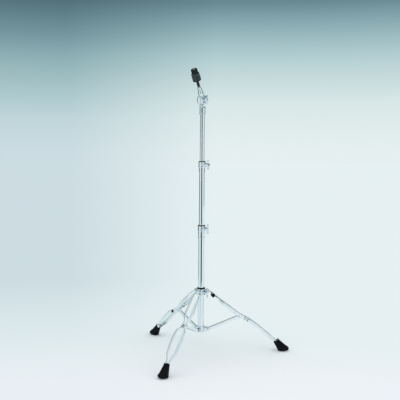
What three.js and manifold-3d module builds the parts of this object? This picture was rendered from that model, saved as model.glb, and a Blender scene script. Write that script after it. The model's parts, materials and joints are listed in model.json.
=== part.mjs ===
// A straight cymbal stand: three telescoping tubes on a folding tripod, with a toothed tilter and a felted
// cymbal seat on top. Millimetres, +Z up. The soles rest on the plane Z = 0, and the origin is the middle of
// the stand's bounding box there. One leg points along +X.
import * as THREE from "three";
import { mergeVertices } from "three/addons/utils/BufferGeometryUtils.js";
import Module from "manifold-3d";

// Clearances
const seatGap = 0.3; // between pieces that rest on or clasp each other
const slideGap = 0.2; // a tube in its bush, a bush in its collar
const weldDistance = 1e-4; // points nearer than this are one point
const cutOverrun = 2; // how far a cut runs past the face that it opens

// Pole tubes
const baseTubeDiameter = 25.4;
const middleTubeDiameter = 22.2;
const upperTubeDiameter = 19.05;
const tubeWall = 1.2;
const baseTubeBottom = 93;
const baseTubeLength = 412;
const middleTubeLength = 400;
const middleTubeHidden = 140;
const upperTubeLength = 360;
const upperTubeHidden = 125;
const plugSpigotLength = 14;
const plugFlangeHeight = 3;
const guideSpigotLength = 12;
const guideFlangeHeight = 4;
const tubeSides = 32;

// Collars: a skirt on the lower tube and a band round the bush that grips the tube above
const baseSkirtLength = 28;
const middleSkirtLength = 18;
const collarSkirtWall = 1.6;
const baseBandDiameter = 30.4;
const middleBandDiameter = 29;
const collarBandHeight = 21;
const collarChamfer = 1;
const bushStep = 0.6; // how much wider a bush is than the tube that it stands on
const bushFlangeHeight = 3.4;
const bushSlit = 1.6;
const lockAzimuth = -52; // degrees, where the collars' wing screws point
const rivetAzimuth = 128;
const rivetShankDiameter = 3.2;
const rivetHeadDiameter = 6;
const rivetHeadHeight = 1.6;
const roundSides = 16;
const arcSteps = 4;

// Wing screws
const screwDiameter = 8;
const bossDiameter = 14;
const collarBossReach = 27.5;
const barrelDiameter = 11.5;
const barrelLength = 10;
const wingSpan = 40;
const wingThickness = 3.6;
const wingTipRadius = 5.2;
const wingTipOffset = 7;
const wingRootInset = 0.8;

// Leg hub, which slides on the base tube
const legCount = 3;
const hubPivotHeight = 257;
const hubPivotRadius = 30;
const hubDiameter = 36;
const hubAbovePivot = 15;
const hubBelowPivot = 14;
const hubBushWall = 1.8;
const hubLugThickness = 13;
const hubLugRadius = 7.5;
const hubLockAzimuth = -60;
const hubBossReach = 34;
const pinDiameter = 6;
const pinHeadDiameter = 10;
const pinHeadHeight = 2;

// Bottom bracket, fixed on the base tube
const bracketPivotHeight = 99;
const bracketPivotRadius = 29.5;
const bracketWall = 2.3;
const bracketBelowPivot = 8;
const bracketAbovePivot = 14;
const bracketEarRadius = 8;

// Legs: the web line of a strip, as shares along and above the line from the hub pivot to the foot's neck
const footNeckRadius = 317;
const footNeckHeight = 43.5;
const webLineShares = [
  [0.004, 0.0132],
  [0.2198, 0.0089],
  [0.4143, 0.0051],
  [0.4692, 0.0062],
  [0.5219, 0.0151],
  [0.5984, 0.0246],
  [0.7133, 0.0247],
  [0.852, 0.0163],
  [0.9616, 0.0094],
  [1.0316, 0.0043],
];
const stripThickness = 1.6;
const earThickness = 2;
const flangeDepth = 12;
const flangeEndDepth = 1.9;
const flangeStartDepth = 4.5; // near the hub, so that the flanges clear the bumper
const earGap = 0.4; // between an ear and the lug or stay inside it
const upperLoopWidth = 37;
const upperLoopOpening = 17;
const lowerLoopWidth = 43;
const lowerLoopOpening = 23;
const stripEndWidth = 5.2;
const stripEndOpening = 5.6;
// each row: share of the strip's length, share of the way from the joint's width out to the loop's
const upperLoopShares = [
  [0.022, 0],
  [0.06, 0.45],
  [0.11, 0.76],
  [0.27, 1],
  [0.355, 0.7],
  [0.4, 0],
];
const lowerLoopShares = [
  [0.505, 0],
  [0.548, 0.86],
  [0.61, 0.98],
  [0.74, 1],
  [0.83, 0.9],
  [0.935, 0],
];
const flangeStartShares = [0.09, 0.13];
const flangeEndShares = [0.945, 0.96];
const stripSteps = 32;
const midPivotShare = 0.448;
const midPivotDrop = 12;
const midLobeRadius = 8.5;
const midLobeReach = 14;
const midRivetDiameter = 5.2;

// Stays
const stayWidth = 10;
const stayHeight = 12;
const stayWall = 1.5;

// Feet
const footPitch = 51; // degrees, how steeply a foot's axis points down
const footNeckDepth = 25;
const footNeckWidth = 21;
const footLength = 61;
const footFlare = 10; // degrees
const footSoleWidth = 45;
const footRingStep = 1.3;
const footRingLength = 15;
const footRounding = 2.4;
const footTreadOffset = 28; // from the neck out to the middle of the sole
const footTreadReach = 29; // half the length of the tread, along the leg
const footTreadWidth = 44;
const footTreadEase = 12; // how far the tread's lower edge draws in along the leg
const footTreadRise = 10; // how high that edge reaches
const footScrewShare = 0.975;
const footScrewDiameter = 4;
const footScrewHeadDiameter = 8;
const footScrewHeadHeight = 2.4;
const footScrewRecess = 7.4; // from the web line out to the floor of the recess
const footScrewDepth = 6;
const footSides = 24;

// Bumper between the strips of the first leg
const bumperSize = 16;
const bumperWidth = 17;
const bumperShare = 0.066;
const bumperDrop = 5;
const bumperGrip = 2; // how deep the webs sit in the bumper's grooves
const bumperRounding = 2.5;

// Tilter: the base's toothed disc lies on one side of the pole's axis and the arm's on the other
const tiltAzimuth = -126; // degrees, the side to which the rod leans
const tiltAngle = 32.8; // degrees from upright
const socketDiameter = 24;
const socketLength = 28;
const socketCap = 4; // solid above the end of the upper tube
const socketTopDrop = 32;
const neckWidth = 20;
const discDiameter = 40;
const baseDiscThickness = 17;
const armDiscThickness = 10.5;
const toothCount = 24;
const toothDiameter = 42;
const toothDepth = 1.3;
const toothWidth = 3;
const armCollarStart = 22;
const armCollarLength = 35;
const armCollarLowDiameter = 21;
const armCollarTopDiameter = 15;
const armBridgeWidth = 15;
const rodSocketDepth = 26;
const grubDiameter = 5;
const grubHeight = 41;
const boltHeadDiameter = 15;
const boltHeadHeight = 6;
const nutBarrelDiameter = 14;
const nutBarrelLength = 12;
const nutWingAngle = 78; // degrees from level, how far the wings are turned up
const boltTipReach = 2;

// Cymbal rod and what is on it, as distances up the rod from the tilter's pivot
const rodDiameter = 8;
const rodEnd = 141;
const sleeveStart = 60;
const sleeveDiameter = 11;
const seatHeight = 87;
const seatThickness = 4.2;
const seatDiameter = 33;
const feltThickness = 13.4;
const lowerFeltDiameter = 35;
const upperFeltDiameter = 33.6;
const feltRounding = 1.6;
const topNutDiameter = 26;
const topNutHeight = 18;
const topNutRibs = 12;
const topNutRibDepth = 0.9;
const topNutChamfer = 2;

const wasm = await Module();
wasm.setup();

const chrome = material(0xd9dfe0, 0.12, 1);
const castChrome = material(0xcfd5d6, 0.2, 1);
const blackRubber = material(0x0d0f11, 0.8, 0);
const blackNylon = material(0x15171a, 0.45, 0);
const greyFelt = material(0x3a444b, 1, 0);

function material(color, roughness, metalness) {
  return new THREE.MeshStandardMaterial({ color, roughness, metalness });
}

function radians(degrees) {
  return THREE.MathUtils.degToRad(degrees);
}

// A closed geometry as a solid, turned right side out where its winding is reversed.
function solid(geometry) {
  const bare = geometry.clone();
  bare.deleteAttribute("normal");
  bare.deleteAttribute("uv");
  const merged = mergeVertices(bare, weldDistance);
  const make = (triVerts) =>
    new wasm.Manifold(
      new wasm.Mesh({ numProp: 3, vertProperties: merged.attributes.position.array, triVerts }),
    );
  const faces = new Uint32Array(merged.index.array);
  const made = make(faces);
  if (made.volume() > 0) return made;
  for (let i = 0; i < faces.length; i += 3) {
    const swapped = faces[i];
    faces[i] = faces[i + 1];
    faces[i + 1] = swapped;
  }
  return make(faces);
}

function join(...geometries) {
  return geometries.map(solid).reduce((whole, piece) => whole.add(piece));
}

function cut(whole, ...geometries) {
  return geometries.map(solid).reduce((rest, piece) => rest.subtract(piece), whole);
}

function geometryOf(made) {
  const { vertProperties, triVerts } = made.getMesh();
  return new THREE.BufferGeometry()
    .setAttribute("position", new THREE.BufferAttribute(vertProperties, 3))
    .setIndex(new THREE.BufferAttribute(triVerts, 1));
}

function place(group, name, made, finish) {
  const mesh = new THREE.Mesh(geometryOf(made), finish);
  mesh.name = name;
  group.add(mesh);
  return mesh;
}

// A turned piece round Z from [radius, height] points.
function turned(points, sides = tubeSides) {
  const profile = points.map(([radius, height]) => new THREE.Vector2(radius, height));
  return new THREE.LatheGeometry(profile, sides).rotateX(Math.PI / 2);
}

function ring(outer, inner, low, high, sides = tubeSides) {
  return turned([[inner, low], [outer, low], [outer, high], [inner, high], [inner, low]], sides);
}

function disc(radius, low, high, sides = roundSides) {
  return turned([[0, low], [radius, low], [radius, high], [0, high]], sides);
}

// A domed rivet head on its shank, along Z: the head's flat side is at seat, the dome above it.
function rivet(shankDiameter, headDiameter, headHeight, start, seat) {
  const shank = shankDiameter / 2;
  const head = headDiameter / 2;
  const rim = headHeight / 3;
  return turned(
    [
      [0, start],
      [shank, start],
      [shank, seat],
      [head, seat],
      [head, seat + rim],
      [head / 2, seat + headHeight],
      [0, seat + headHeight],
    ],
    roundSides,
  );
}

// Turns a piece made along Z so that it points along X or Y.
function alongX(geometry) {
  return geometry.rotateY(Math.PI / 2);
}

function alongY(geometry) {
  return geometry.rotateX(-Math.PI / 2);
}

// A round pin along Y at a point of the leg's plane.
function crossPin(radius, from, to, x, z) {
  return alongY(disc(radius, from, to)).translate(x, 0, z);
}

// A flat plate from a shape in the leg's plane (X out, Y up), between two places along Y.
function plate(shape, from, to) {
  return new THREE.ExtrudeGeometry(shape, { depth: to - from, bevelEnabled: false, curveSegments: arcSteps })
    .rotateX(Math.PI / 2)
    .translate(0, to, 0);
}

function box(fromX, toX, fromY, toY, fromZ, toZ) {
  return new THREE.BoxGeometry(toX - fromX, toY - fromY, toZ - fromZ).translate(
    (fromX + toX) / 2,
    (fromY + toY) / 2,
    (fromZ + toZ) / 2,
  );
}

// Joins rings of points, all of one outline, into one closed skin with flat ends.
function loft(rings) {
  const size = rings[0].points.length;
  const positions = rings.flatMap(({ points }) => points.flatMap((p) => [p.x, p.y, p.z]));
  const faces = [];
  for (let i = 0; i + 1 < rings.length; i++) {
    for (let j = 0; j < size; j++) {
      const a = i * size + j;
      const b = i * size + ((j + 1) % size);
      faces.push(a, b, b + size, a, b + size, a + size);
    }
  }
  const last = (rings.length - 1) * size;
  for (const [a, b, c] of THREE.ShapeUtils.triangulateShape(rings[0].outline, [])) faces.push(a, c, b);
  for (const [a, b, c] of THREE.ShapeUtils.triangulateShape(rings.at(-1).outline, [])) {
    faces.push(last + a, last + b, last + c);
  }
  return new THREE.BufferGeometry()
    .setAttribute("position", new THREE.Float32BufferAttribute(positions, 3))
    .setIndex(faces);
}

// Two flat wings on a barrel along Z, which starts at the given height; the shank is added by the caller.
function wings(start, barrelSize, length) {
  const barrel = barrelSize / 2;
  const tip = wingSpan / 2 - wingTipRadius;
  const tipHeight = start + wingTipOffset;
  const wing = new THREE.Shape();
  wing.moveTo(0, start + wingRootInset);
  wing.lineTo(tip, tipHeight - wingTipRadius);
  wing.absarc(tip, tipHeight, wingTipRadius, -Math.PI / 2, Math.PI / 2, false);
  wing.lineTo(0, start + length - wingRootInset);
  const one = plate(wing, -wingThickness / 2, wingThickness / 2);
  const other = one.clone().rotateZ(Math.PI);
  const core = turned(
    [
      [0, start],
      [barrel, start],
      [barrel, start + length - wingRootInset],
      [barrel - wingRootInset, start + length],
      [0, start + length],
    ],
    roundSides,
  );
  return join(core, one, other);
}

// A wing screw along Z: its shank runs from shankStart into the barrel, which stands off the boss.
function wingScrew(shankStart, bossReach) {
  const start = bossReach + seatGap;
  return wings(start, barrelDiameter, barrelLength).add(
    solid(disc(screwDiameter / 2, shankStart, start + barrelLength / 2)),
  );
}

function group(parent, azimuth = 0, height = 0) {
  const made = new THREE.Group();
  made.rotation.z = radians(azimuth);
  made.position.z = height;
  parent.add(made);
  return made;
}

const stand = new THREE.Group();
const pole = group(stand);

function tube(name, diameter, low, length) {
  const outer = diameter / 2;
  place(pole, name, solid(ring(outer, outer - tubeWall, low, low + length)), chrome);
}

const baseTubeTop = baseTubeBottom + baseTubeLength;
const middleTubeBottom = baseTubeTop - middleTubeHidden;
const middleTubeTop = middleTubeBottom + middleTubeLength;
const upperTubeBottom = middleTubeTop - upperTubeHidden;
const upperTubeTop = upperTubeBottom + upperTubeLength;
const tilterPivotHeight = upperTubeTop + seatGap + socketCap + socketTopDrop;

function tubes() {
  tube("base_tube", baseTubeDiameter, baseTubeBottom, baseTubeLength);
  tube("middle_tube", middleTubeDiameter, middleTubeBottom, middleTubeLength);
  tube("upper_tube", upperTubeDiameter, upperTubeBottom, upperTubeLength);
}

// A plug pushed into a tube's lower end, with a flange below it.
function endPlug(name, inner, flange, tubeEnd, spigotLength, flangeHeight) {
  const spigot = inner / 2 - slideGap;
  const top = tubeEnd + spigotLength;
  const low = tubeEnd - seatGap - flangeHeight;
  const made = turned([
    [0, low],
    [flange / 2, low],
    [flange / 2, low + flangeHeight],
    [spigot, low + flangeHeight],
    [spigot, top],
    [0, top],
  ]);
  place(pole, name, solid(made), blackNylon);
}

function plugs() {
  const baseInner = baseTubeDiameter - 2 * tubeWall;
  const middleInner = middleTubeDiameter - 2 * tubeWall;
  const upperInner = upperTubeDiameter - 2 * tubeWall;
  endPlug("base_tube_plug", baseInner, baseTubeDiameter, baseTubeBottom, plugSpigotLength, plugFlangeHeight);
  endPlug(
    "middle_tube_guide",
    middleInner,
    baseInner - 2 * slideGap,
    middleTubeBottom,
    guideSpigotLength,
    guideFlangeHeight,
  );
  endPlug(
    "upper_tube_guide",
    upperInner,
    middleInner - 2 * slideGap,
    upperTubeBottom,
    guideSpigotLength,
    guideFlangeHeight,
  );
}

// A split nylon bush with a flange on top.
function bush(name, inner, outer, flange, low, high, finish) {
  const made = turned([
    [inner, low],
    [outer, low],
    [outer, high],
    [flange, high],
    [flange, high + bushFlangeHeight],
    [inner, high + bushFlangeHeight],
    [inner, low],
  ]);
  const slit = box(
    inner / 2,
    flange + cutOverrun,
    -bushSlit / 2,
    bushSlit / 2,
    low - cutOverrun,
    high + bushFlangeHeight + cutOverrun,
  ).rotateZ(radians(rivetAzimuth));
  place(pole, name, cut(solid(made), slit), finish);
}

// A rivet's head and shank on a round wall, pointing out along its azimuth.
function wallRivet(name, inner, outer, height) {
  const made = alongX(rivet(rivetShankDiameter, rivetHeadDiameter, rivetHeadHeight, inner, outer + seatGap));
  place(group(pole, rivetAzimuth, height), name, solid(made), chrome);
}

function rivetHole(outer, height) {
  return alongX(disc(rivetShankDiameter / 2 + slideGap, 0, outer + cutOverrun))
    .translate(0, 0, height)
    .rotateZ(radians(rivetAzimuth));
}

// A collar on the top of one tube, with the bush for the tube above and the wing screw that locks it.
function collar(prefix, lowerDiameter, upperDiameter, tubeTop, skirtLength, bandDiameter) {
  const clasp = lowerDiameter / 2 + slideGap;
  const skirt = clasp + collarSkirtWall;
  const bushOuter = lowerDiameter / 2 + bushStep;
  const bore = bushOuter + slideGap;
  const band = bandDiameter / 2;
  const low = tubeTop - skirtLength;
  const ledge = tubeTop + seatGap;
  const top = ledge + collarBandHeight;
  const screwHeight = ledge + collarBandHeight / 2;
  const shell = turned([
    [clasp, low],
    [skirt, low],
    [skirt, ledge - collarChamfer],
    [band - collarChamfer, ledge - collarChamfer],
    [band, ledge],
    [band, top - collarChamfer],
    [band - collarChamfer, top],
    [bore, top],
    [bore, ledge],
    [clasp, ledge],
    [clasp, low],
  ]);
  const boss = alongX(disc(bossDiameter / 2, (bore + band) / 2, collarBossReach))
    .translate(0, 0, screwHeight)
    .rotateZ(radians(lockAzimuth));
  const tapped = alongX(disc(screwDiameter / 2 + seatGap, 0, collarBossReach + cutOverrun))
    .translate(0, 0, screwHeight)
    .rotateZ(radians(lockAzimuth));
  const rivetHeight = low + skirtLength / 2;
  const body = cut(join(shell, boss), tapped, rivetHole(skirt, rivetHeight));
  place(pole, prefix + "_collar", body, castChrome);
  wallRivet(prefix + "_collar_rivet", clasp + slideGap, skirt, rivetHeight);
  bush(
    prefix + "_bush",
    upperDiameter / 2 + slideGap,
    bushOuter,
    band,
    ledge + seatGap,
    top + seatGap,
    blackNylon,
  );
  const screw = wingScrew(bushOuter + seatGap, collarBossReach);
  const holder = group(pole, lockAzimuth, screwHeight);
  place(holder, prefix + "_wing_screw", solid(alongX(geometryOf(screw))), chrome);
}

// Ears and lugs end in a round nose at the pivot: the outline starts at the wall and runs out to it.
function noseShape(wall, pivotX, pivotZ, radius) {
  const shape = new THREE.Shape();
  shape.moveTo(wall, pivotZ - radius);
  shape.lineTo(pivotX, pivotZ - radius);
  shape.absarc(pivotX, pivotZ, radius, -Math.PI / 2, Math.PI / 2, false);
  shape.lineTo(wall, pivotZ + radius);
  return shape;
}

function legAzimuth(index) {
  return (index * 360) / legCount;
}

const legNames = ["right", "back", "front"];
const hubEarInner = hubLugThickness / 2 + earGap;
const hubEarOuter = hubEarInner + earThickness;
const midEarInner = stayWidth / 2 + earGap;
const midEarOuter = midEarInner + earThickness;

function hub() {
  const bushInner = baseTubeDiameter / 2 + slideGap;
  const bushOuter = bushInner + hubBushWall;
  const bore = bushOuter + slideGap;
  const outer = hubDiameter / 2;
  const low = hubPivotHeight - hubBelowPivot;
  const top = hubPivotHeight + hubAbovePivot;
  const wall = (bore + outer) / 2;
  const shell = turned([
    [bore, low],
    [outer - collarChamfer, low],
    [outer, low + collarChamfer],
    [outer, top - collarChamfer],
    [outer - collarChamfer, top],
    [bore, top],
    [bore, low],
  ]);
  const lug = noseShape(wall, hubPivotRadius, hubPivotHeight, hubLugRadius);
  const half = hubLugThickness / 2;
  const lugs = legNames.map((_, i) => plate(lug, -half, half).rotateZ(radians(legAzimuth(i))));
  const hole = pinDiameter / 2 + seatGap;
  const holes = legNames.map((_, i) =>
    crossPin(hole, -half - cutOverrun, half + cutOverrun, hubPivotRadius, hubPivotHeight).rotateZ(
      radians(legAzimuth(i)),
    ),
  );
  const turn = radians(hubLockAzimuth);
  const boss = alongX(disc(bossDiameter / 2, wall, hubBossReach))
    .translate(0, 0, hubPivotHeight)
    .rotateZ(turn);
  const tapped = alongX(disc(screwDiameter / 2 + seatGap, 0, hubBossReach + cutOverrun))
    .translate(0, 0, hubPivotHeight)
    .rotateZ(turn);
  place(pole, "leg_hub", cut(join(shell, boss, ...lugs), tapped, ...holes), castChrome);
  bush("hub_bush", bushInner, bushOuter, outer - collarChamfer, low + seatGap, top + seatGap, blackNylon);
  const screw = wingScrew(bushOuter + seatGap, hubBossReach);
  place(
    group(pole, hubLockAzimuth, hubPivotHeight),
    "hub_wing_screw",
    solid(alongX(geometryOf(screw))),
    chrome,
  );
}

// A pin with a head at each end, along Y at a point of the leg's plane.
function headedPin(shankDiameter, halfSpan, x, z) {
  const head = pinHeadDiameter / 2;
  const rim = pinHeadHeight / 3;
  const seat = halfSpan + seatGap;
  const shank = shankDiameter / 2;
  const made = turned(
    [
      [0, -seat - pinHeadHeight],
      [head / 2, -seat - pinHeadHeight],
      [head, -seat - rim],
      [head, -seat],
      [shank, -seat],
      [shank, seat],
      [head, seat],
      [head, seat + rim],
      [head / 2, seat + pinHeadHeight],
      [0, seat + pinHeadHeight],
    ],
    roundSides,
  );
  return solid(alongY(made).translate(x, 0, z));
}

function bracket() {
  const bore = baseTubeDiameter / 2 + slideGap;
  const outer = bore + bracketWall;
  const wall = Math.sqrt(((bore + outer) / 2) ** 2 - midEarInner ** 2);
  const low = bracketPivotHeight - bracketBelowPivot;
  const top = bracketPivotHeight + bracketAbovePivot;
  const ear = noseShape(wall, bracketPivotRadius, bracketPivotHeight, bracketEarRadius);
  const ears = legNames.flatMap((_, i) =>
    [plate(ear, midEarInner, midEarOuter), plate(ear, -midEarOuter, -midEarInner)].map((one) =>
      one.rotateZ(radians(legAzimuth(i))),
    ),
  );
  const rivetHeight = top - rivetHeadDiameter / 2;
  const turn = radians(rivetAzimuth - legAzimuth(1) / 2);
  const hole = alongX(disc(rivetShankDiameter / 2 + slideGap, 0, outer + cutOverrun))
    .translate(0, 0, rivetHeight)
    .rotateZ(turn);
  const shell = ring(outer, bore, low, top);
  place(pole, "bottom_bracket", cut(join(shell, ...ears), hole), castChrome);
  const made = alongX(
    rivet(rivetShankDiameter, rivetHeadDiameter, rivetHeadHeight, bore + slideGap, outer + seatGap),
  );
  const holder = group(pole, 0, rivetHeight);
  holder.rotation.z = turn;
  place(holder, "bracket_rivet", solid(made), chrome);
}

// The strip's web line in the leg's plane, x out and y up.
const hubPivot = new THREE.Vector2(hubPivotRadius, hubPivotHeight);
const footNeck = new THREE.Vector2(footNeckRadius, footNeckHeight);
const legLine = footNeck.clone().sub(hubPivot);
const legNormal = new THREE.Vector2(-legLine.y, legLine.x);
const webLine = new THREE.CatmullRomCurve3(
  webLineShares.map(([along, rise]) => {
    const p = hubPivot.clone().addScaledVector(legLine, along).addScaledVector(legNormal, rise);
    return new THREE.Vector3(p.x, p.y, 0);
  }),
);

// Where the web line is at a share of its length, with the ways along it and out of it.
function webAt(share) {
  const point = webLine.getPointAt(share);
  const along = webLine.getTangentAt(share);
  return { point, along, out: new THREE.Vector3(-along.y, along.x, 0) };
}

const midWeb = webAt(midPivotShare);
const midPivot = midWeb.point.clone().addScaledVector(midWeb.out, -midPivotDrop);
const bracketPivot = new THREE.Vector3(bracketPivotRadius, bracketPivotHeight, 0);

// The strip's plan: how far its outer and inner edges lie from the leg's middle plane.
function loopStations(shares, from, to, loop) {
  const half = shares.length / 2;
  return shares.map(([at, bulge], i) => {
    const joint = i < half ? from : to;
    return {
      at,
      outer: THREE.MathUtils.lerp(joint.outer, loop.outer, bulge),
      inner: THREE.MathUtils.lerp(joint.inner, loop.inner, bulge),
    };
  });
}

const hubJoint = { outer: hubEarOuter, inner: hubEarInner };
const midJoint = { outer: midEarOuter, inner: midEarInner };
const footJoint = { outer: stripEndOpening / 2 + stripEndWidth, inner: stripEndOpening / 2 };
const upperLoop = { outer: upperLoopWidth / 2, inner: upperLoopOpening / 2 };
const lowerLoop = { outer: lowerLoopWidth / 2, inner: lowerLoopOpening / 2 };
const stripPlan = [
  { at: 0, ...hubJoint },
  ...loopStations(upperLoopShares, hubJoint, midJoint, upperLoop),
  ...loopStations(lowerLoopShares, midJoint, footJoint, lowerLoop),
  { at: 1, ...footJoint },
];

function planAt(share) {
  const next = Math.max(1, stripPlan.findIndex((station) => station.at >= share));
  const a = stripPlan[next - 1];
  const b = stripPlan[next];
  const t = THREE.MathUtils.smoothstep(share, a.at, b.at);
  return {
    outer: THREE.MathUtils.lerp(a.outer, b.outer, t),
    inner: THREE.MathUtils.lerp(a.inner, b.inner, t),
  };
}

// One strip: a web with a flange along its outer edge, an ear at the hub and a lobe for the stay's rivet.
function strip(side) {
  const half = stripThickness / 2;
  const rings = [];
  const even = Array.from({ length: stripSteps + 1 }, (_, i) => i / stripSteps);
  for (const share of [...even, ...flangeStartShares, ...flangeEndShares].sort((a, b) => a - b)) {
    const { point, out } = webAt(share);
    const { outer, inner } = planAt(share);
    const growth = THREE.MathUtils.smoothstep(share, flangeStartShares[0], flangeStartShares[1]);
    const fade = THREE.MathUtils.smoothstep(share, flangeEndShares[0], flangeEndShares[1]);
    const grown = THREE.MathUtils.lerp(flangeStartDepth, flangeDepth, growth);
    const depth = THREE.MathUtils.lerp(grown, flangeEndDepth, fade) - half;
    const outline = [
      new THREE.Vector2(inner, -half),
      new THREE.Vector2(outer - earThickness, -half),
      new THREE.Vector2(outer - earThickness, -depth),
      new THREE.Vector2(outer, -depth),
      new THREE.Vector2(outer, half),
      new THREE.Vector2(inner, half),
    ];
    const points = outline.map((q) => {
      const p = point.clone().addScaledVector(out, q.y);
      return new THREE.Vector3(p.x, side * q.x, p.y);
    });
    rings.push({ points, outline });
  }
  return loft(rings);
}

function ears(side) {
  const hubEar = new THREE.Shape();
  hubEar.absarc(hubPivot.x, hubPivot.y, hubLugRadius, 0, 2 * Math.PI, false);
  const lobe = new THREE.Shape();
  const tangent = midWeb.along;
  const turn = Math.atan2(tangent.y, tangent.x);
  const top = midPivot.clone().addScaledVector(midWeb.out, midPivotDrop);
  const start = top.clone().addScaledVector(tangent, midLobeReach);
  const end = top.clone().addScaledVector(tangent, -midLobeReach);
  lobe.moveTo(start.x, start.y);
  lobe.lineTo(end.x, end.y);
  lobe.absarc(midPivot.x, midPivot.y, midLobeRadius, turn + Math.PI, turn + 2 * Math.PI, false);
  const spans = side > 0 ? [hubEarInner, hubEarOuter] : [-hubEarOuter, -hubEarInner];
  const midSpans = side > 0 ? [midEarInner, midEarOuter] : [-midEarOuter, -midEarInner];
  return [plate(hubEar, ...spans), plate(lobe, ...midSpans)];
}

function legStrip(side) {
  const reach = upperLoopWidth;
  const hubHole = crossPin(pinDiameter / 2 + seatGap, -reach, reach, hubPivot.x, hubPivot.y);
  const midHole = crossPin(midRivetDiameter / 2 + seatGap, -reach, reach, midPivot.x, midPivot.y);
  return cut(join(strip(side), ...ears(side)), hubHole, midHole);
}

// Turns a piece made round Z so that Z runs down the foot's axis from its neck.
function footPlaced(geometry) {
  return geometry.rotateY(radians(90 + footPitch)).translate(footNeck.x, 0, footNeck.y);
}

function foot() {
  const neck = footNeckDepth / 2;
  const slope = Math.tan(radians(footFlare));
  const ringStart = footLength - footRingLength;
  const radiusAt = (s) => neck + s * slope;
  const flared = turned(
    [
      [0, 0],
      [neck - footRounding, 0],
      [neck, footRounding],
      [radiusAt(ringStart), ringStart],
      [radiusAt(ringStart) + footRingStep, ringStart + footRingStep],
      [radiusAt(footLength - footRounding), footLength - footRounding],
      [radiusAt(footLength) - footRounding, footLength],
      [0, footLength],
    ],
    footSides,
  );
  // the boot is narrower than it is deep: its width is scaled from the neck to the sole
  const position = flared.attributes.position;
  const neckShare = footNeckWidth / footNeckDepth;
  const soleShare = footSoleWidth / (2 * radiusAt(footLength));
  for (let i = 0; i < position.count; i++) {
    const share = THREE.MathUtils.lerp(neckShare, soleShare, position.getZ(i) / footLength);
    position.setY(i, position.getY(i) * share);
  }
  const tail = webAt(footScrewShare);
  const end = webAt(1);
  const tailTurn = Math.atan2(-tail.along.y, tail.along.x);
  const pocketLength = footLength / 2;
  const pocket = new THREE.BoxGeometry(
    pocketLength,
    2 * (footJoint.outer + seatGap),
    stripThickness + 4 * seatGap,
  )
    .translate(-pocketLength / 2 + seatGap, 0, 0)
    .rotateY(tailTurn)
    .translate(end.point.x, 0, end.point.y);
  const screwTurn = Math.atan2(tail.out.x, tail.out.y);
  const footScrewPlaced = (geometry) => geometry.rotateY(screwTurn).translate(tail.point.x, 0, tail.point.y);
  const shaft = disc(footScrewDiameter / 2 + seatGap, -footScrewDepth - seatGap, footNeckDepth);
  const well = disc(footScrewHeadDiameter / 2 + seatGap, footScrewRecess, footNeckDepth);
  const hole = footScrewPlaced(shaft);
  const recess = footScrewPlaced(well);
  // the tread's lower edge is drawn in all round, as in a bowl that stands on the floor
  const tread = turned(
    [
      [0, 0],
      [footTreadReach - footTreadEase, 0],
      [footTreadReach - footTreadEase / 4, footTreadRise / 2],
      [footTreadReach, footTreadRise],
      [footTreadReach, footLength],
      [0, footLength],
    ],
    footSides,
  )
    .scale(1, footTreadWidth / (2 * footTreadReach), 1)
    .translate(footNeckRadius + footTreadOffset, 0, 0);
  const seat = footScrewRecess + seatGap;
  const screw = footScrewPlaced(
    rivet(footScrewDiameter, footScrewHeadDiameter, footScrewHeadHeight, -footScrewDepth, seat),
  );
  const boot = solid(footPlaced(flared)).intersect(solid(tread));
  return { body: cut(boot, pocket, hole, recess), screw: solid(screw) };
}

function bumper() {
  const { point, along, out } = webAt(bumperShare);
  const half = bumperSize / 2;
  const corner = half - bumperRounding;
  const shape = new THREE.Shape();
  shape.absarc(corner, corner, bumperRounding, 0, Math.PI / 2, false);
  shape.absarc(-corner, corner, bumperRounding, Math.PI / 2, Math.PI, false);
  shape.absarc(-corner, -corner, bumperRounding, Math.PI, Math.PI * 1.5, false);
  shape.absarc(corner, -corner, bumperRounding, Math.PI * 1.5, Math.PI * 2, false);
  const turn = Math.atan2(-along.y, along.x);
  const centre = point.clone().addScaledVector(out, -bumperDrop);
  const put = (geometry) => geometry.rotateY(turn).translate(centre.x, 0, centre.y);
  const grooveHalf = stripThickness / 2 + 2 * seatGap;
  const grooveLow = bumperDrop - grooveHalf;
  const grooveHigh = bumperDrop + grooveHalf;
  const grooves = [1, -1].map((side) => {
    const deep = bumperWidth / 2 - bumperGrip;
    const wide = bumperWidth / 2 + cutOverrun;
    const from = side > 0 ? deep : -wide;
    return box(-bumperSize, bumperSize, from, from + wide - deep, grooveLow, grooveHigh);
  });
  return cut(solid(put(plate(shape, -bumperWidth / 2, bumperWidth / 2))), ...grooves.map(put));
}

// A folded channel between the leg's lobes and the bracket's ears, open below, with round noses.
function stay() {
  const along = midPivot.clone().sub(bracketPivot);
  const length = along.length();
  const radius = stayHeight / 2;
  const half = stayWidth / 2;
  const shape = new THREE.Shape();
  shape.absarc(length, 0, radius, -Math.PI / 2, Math.PI / 2, false);
  shape.absarc(0, 0, radius, Math.PI / 2, Math.PI * 1.5, false);
  const inside = half - stayWall;
  const trough = box(
    -radius - cutOverrun,
    length + radius + cutOverrun,
    -inside,
    inside,
    -radius - cutOverrun,
    radius - stayWall,
  );
  const hole = midRivetDiameter / 2 + seatGap;
  const holes = [0, length].map((x) => crossPin(hole, -half - cutOverrun, half + cutOverrun, x, 0));
  const made = cut(solid(plate(shape, -half, half)), trough, ...holes);
  const turn = Math.atan2(-along.y, along.x);
  return solid(geometryOf(made).rotateY(turn).translate(bracketPivot.x, 0, bracketPivot.y));
}

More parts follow.
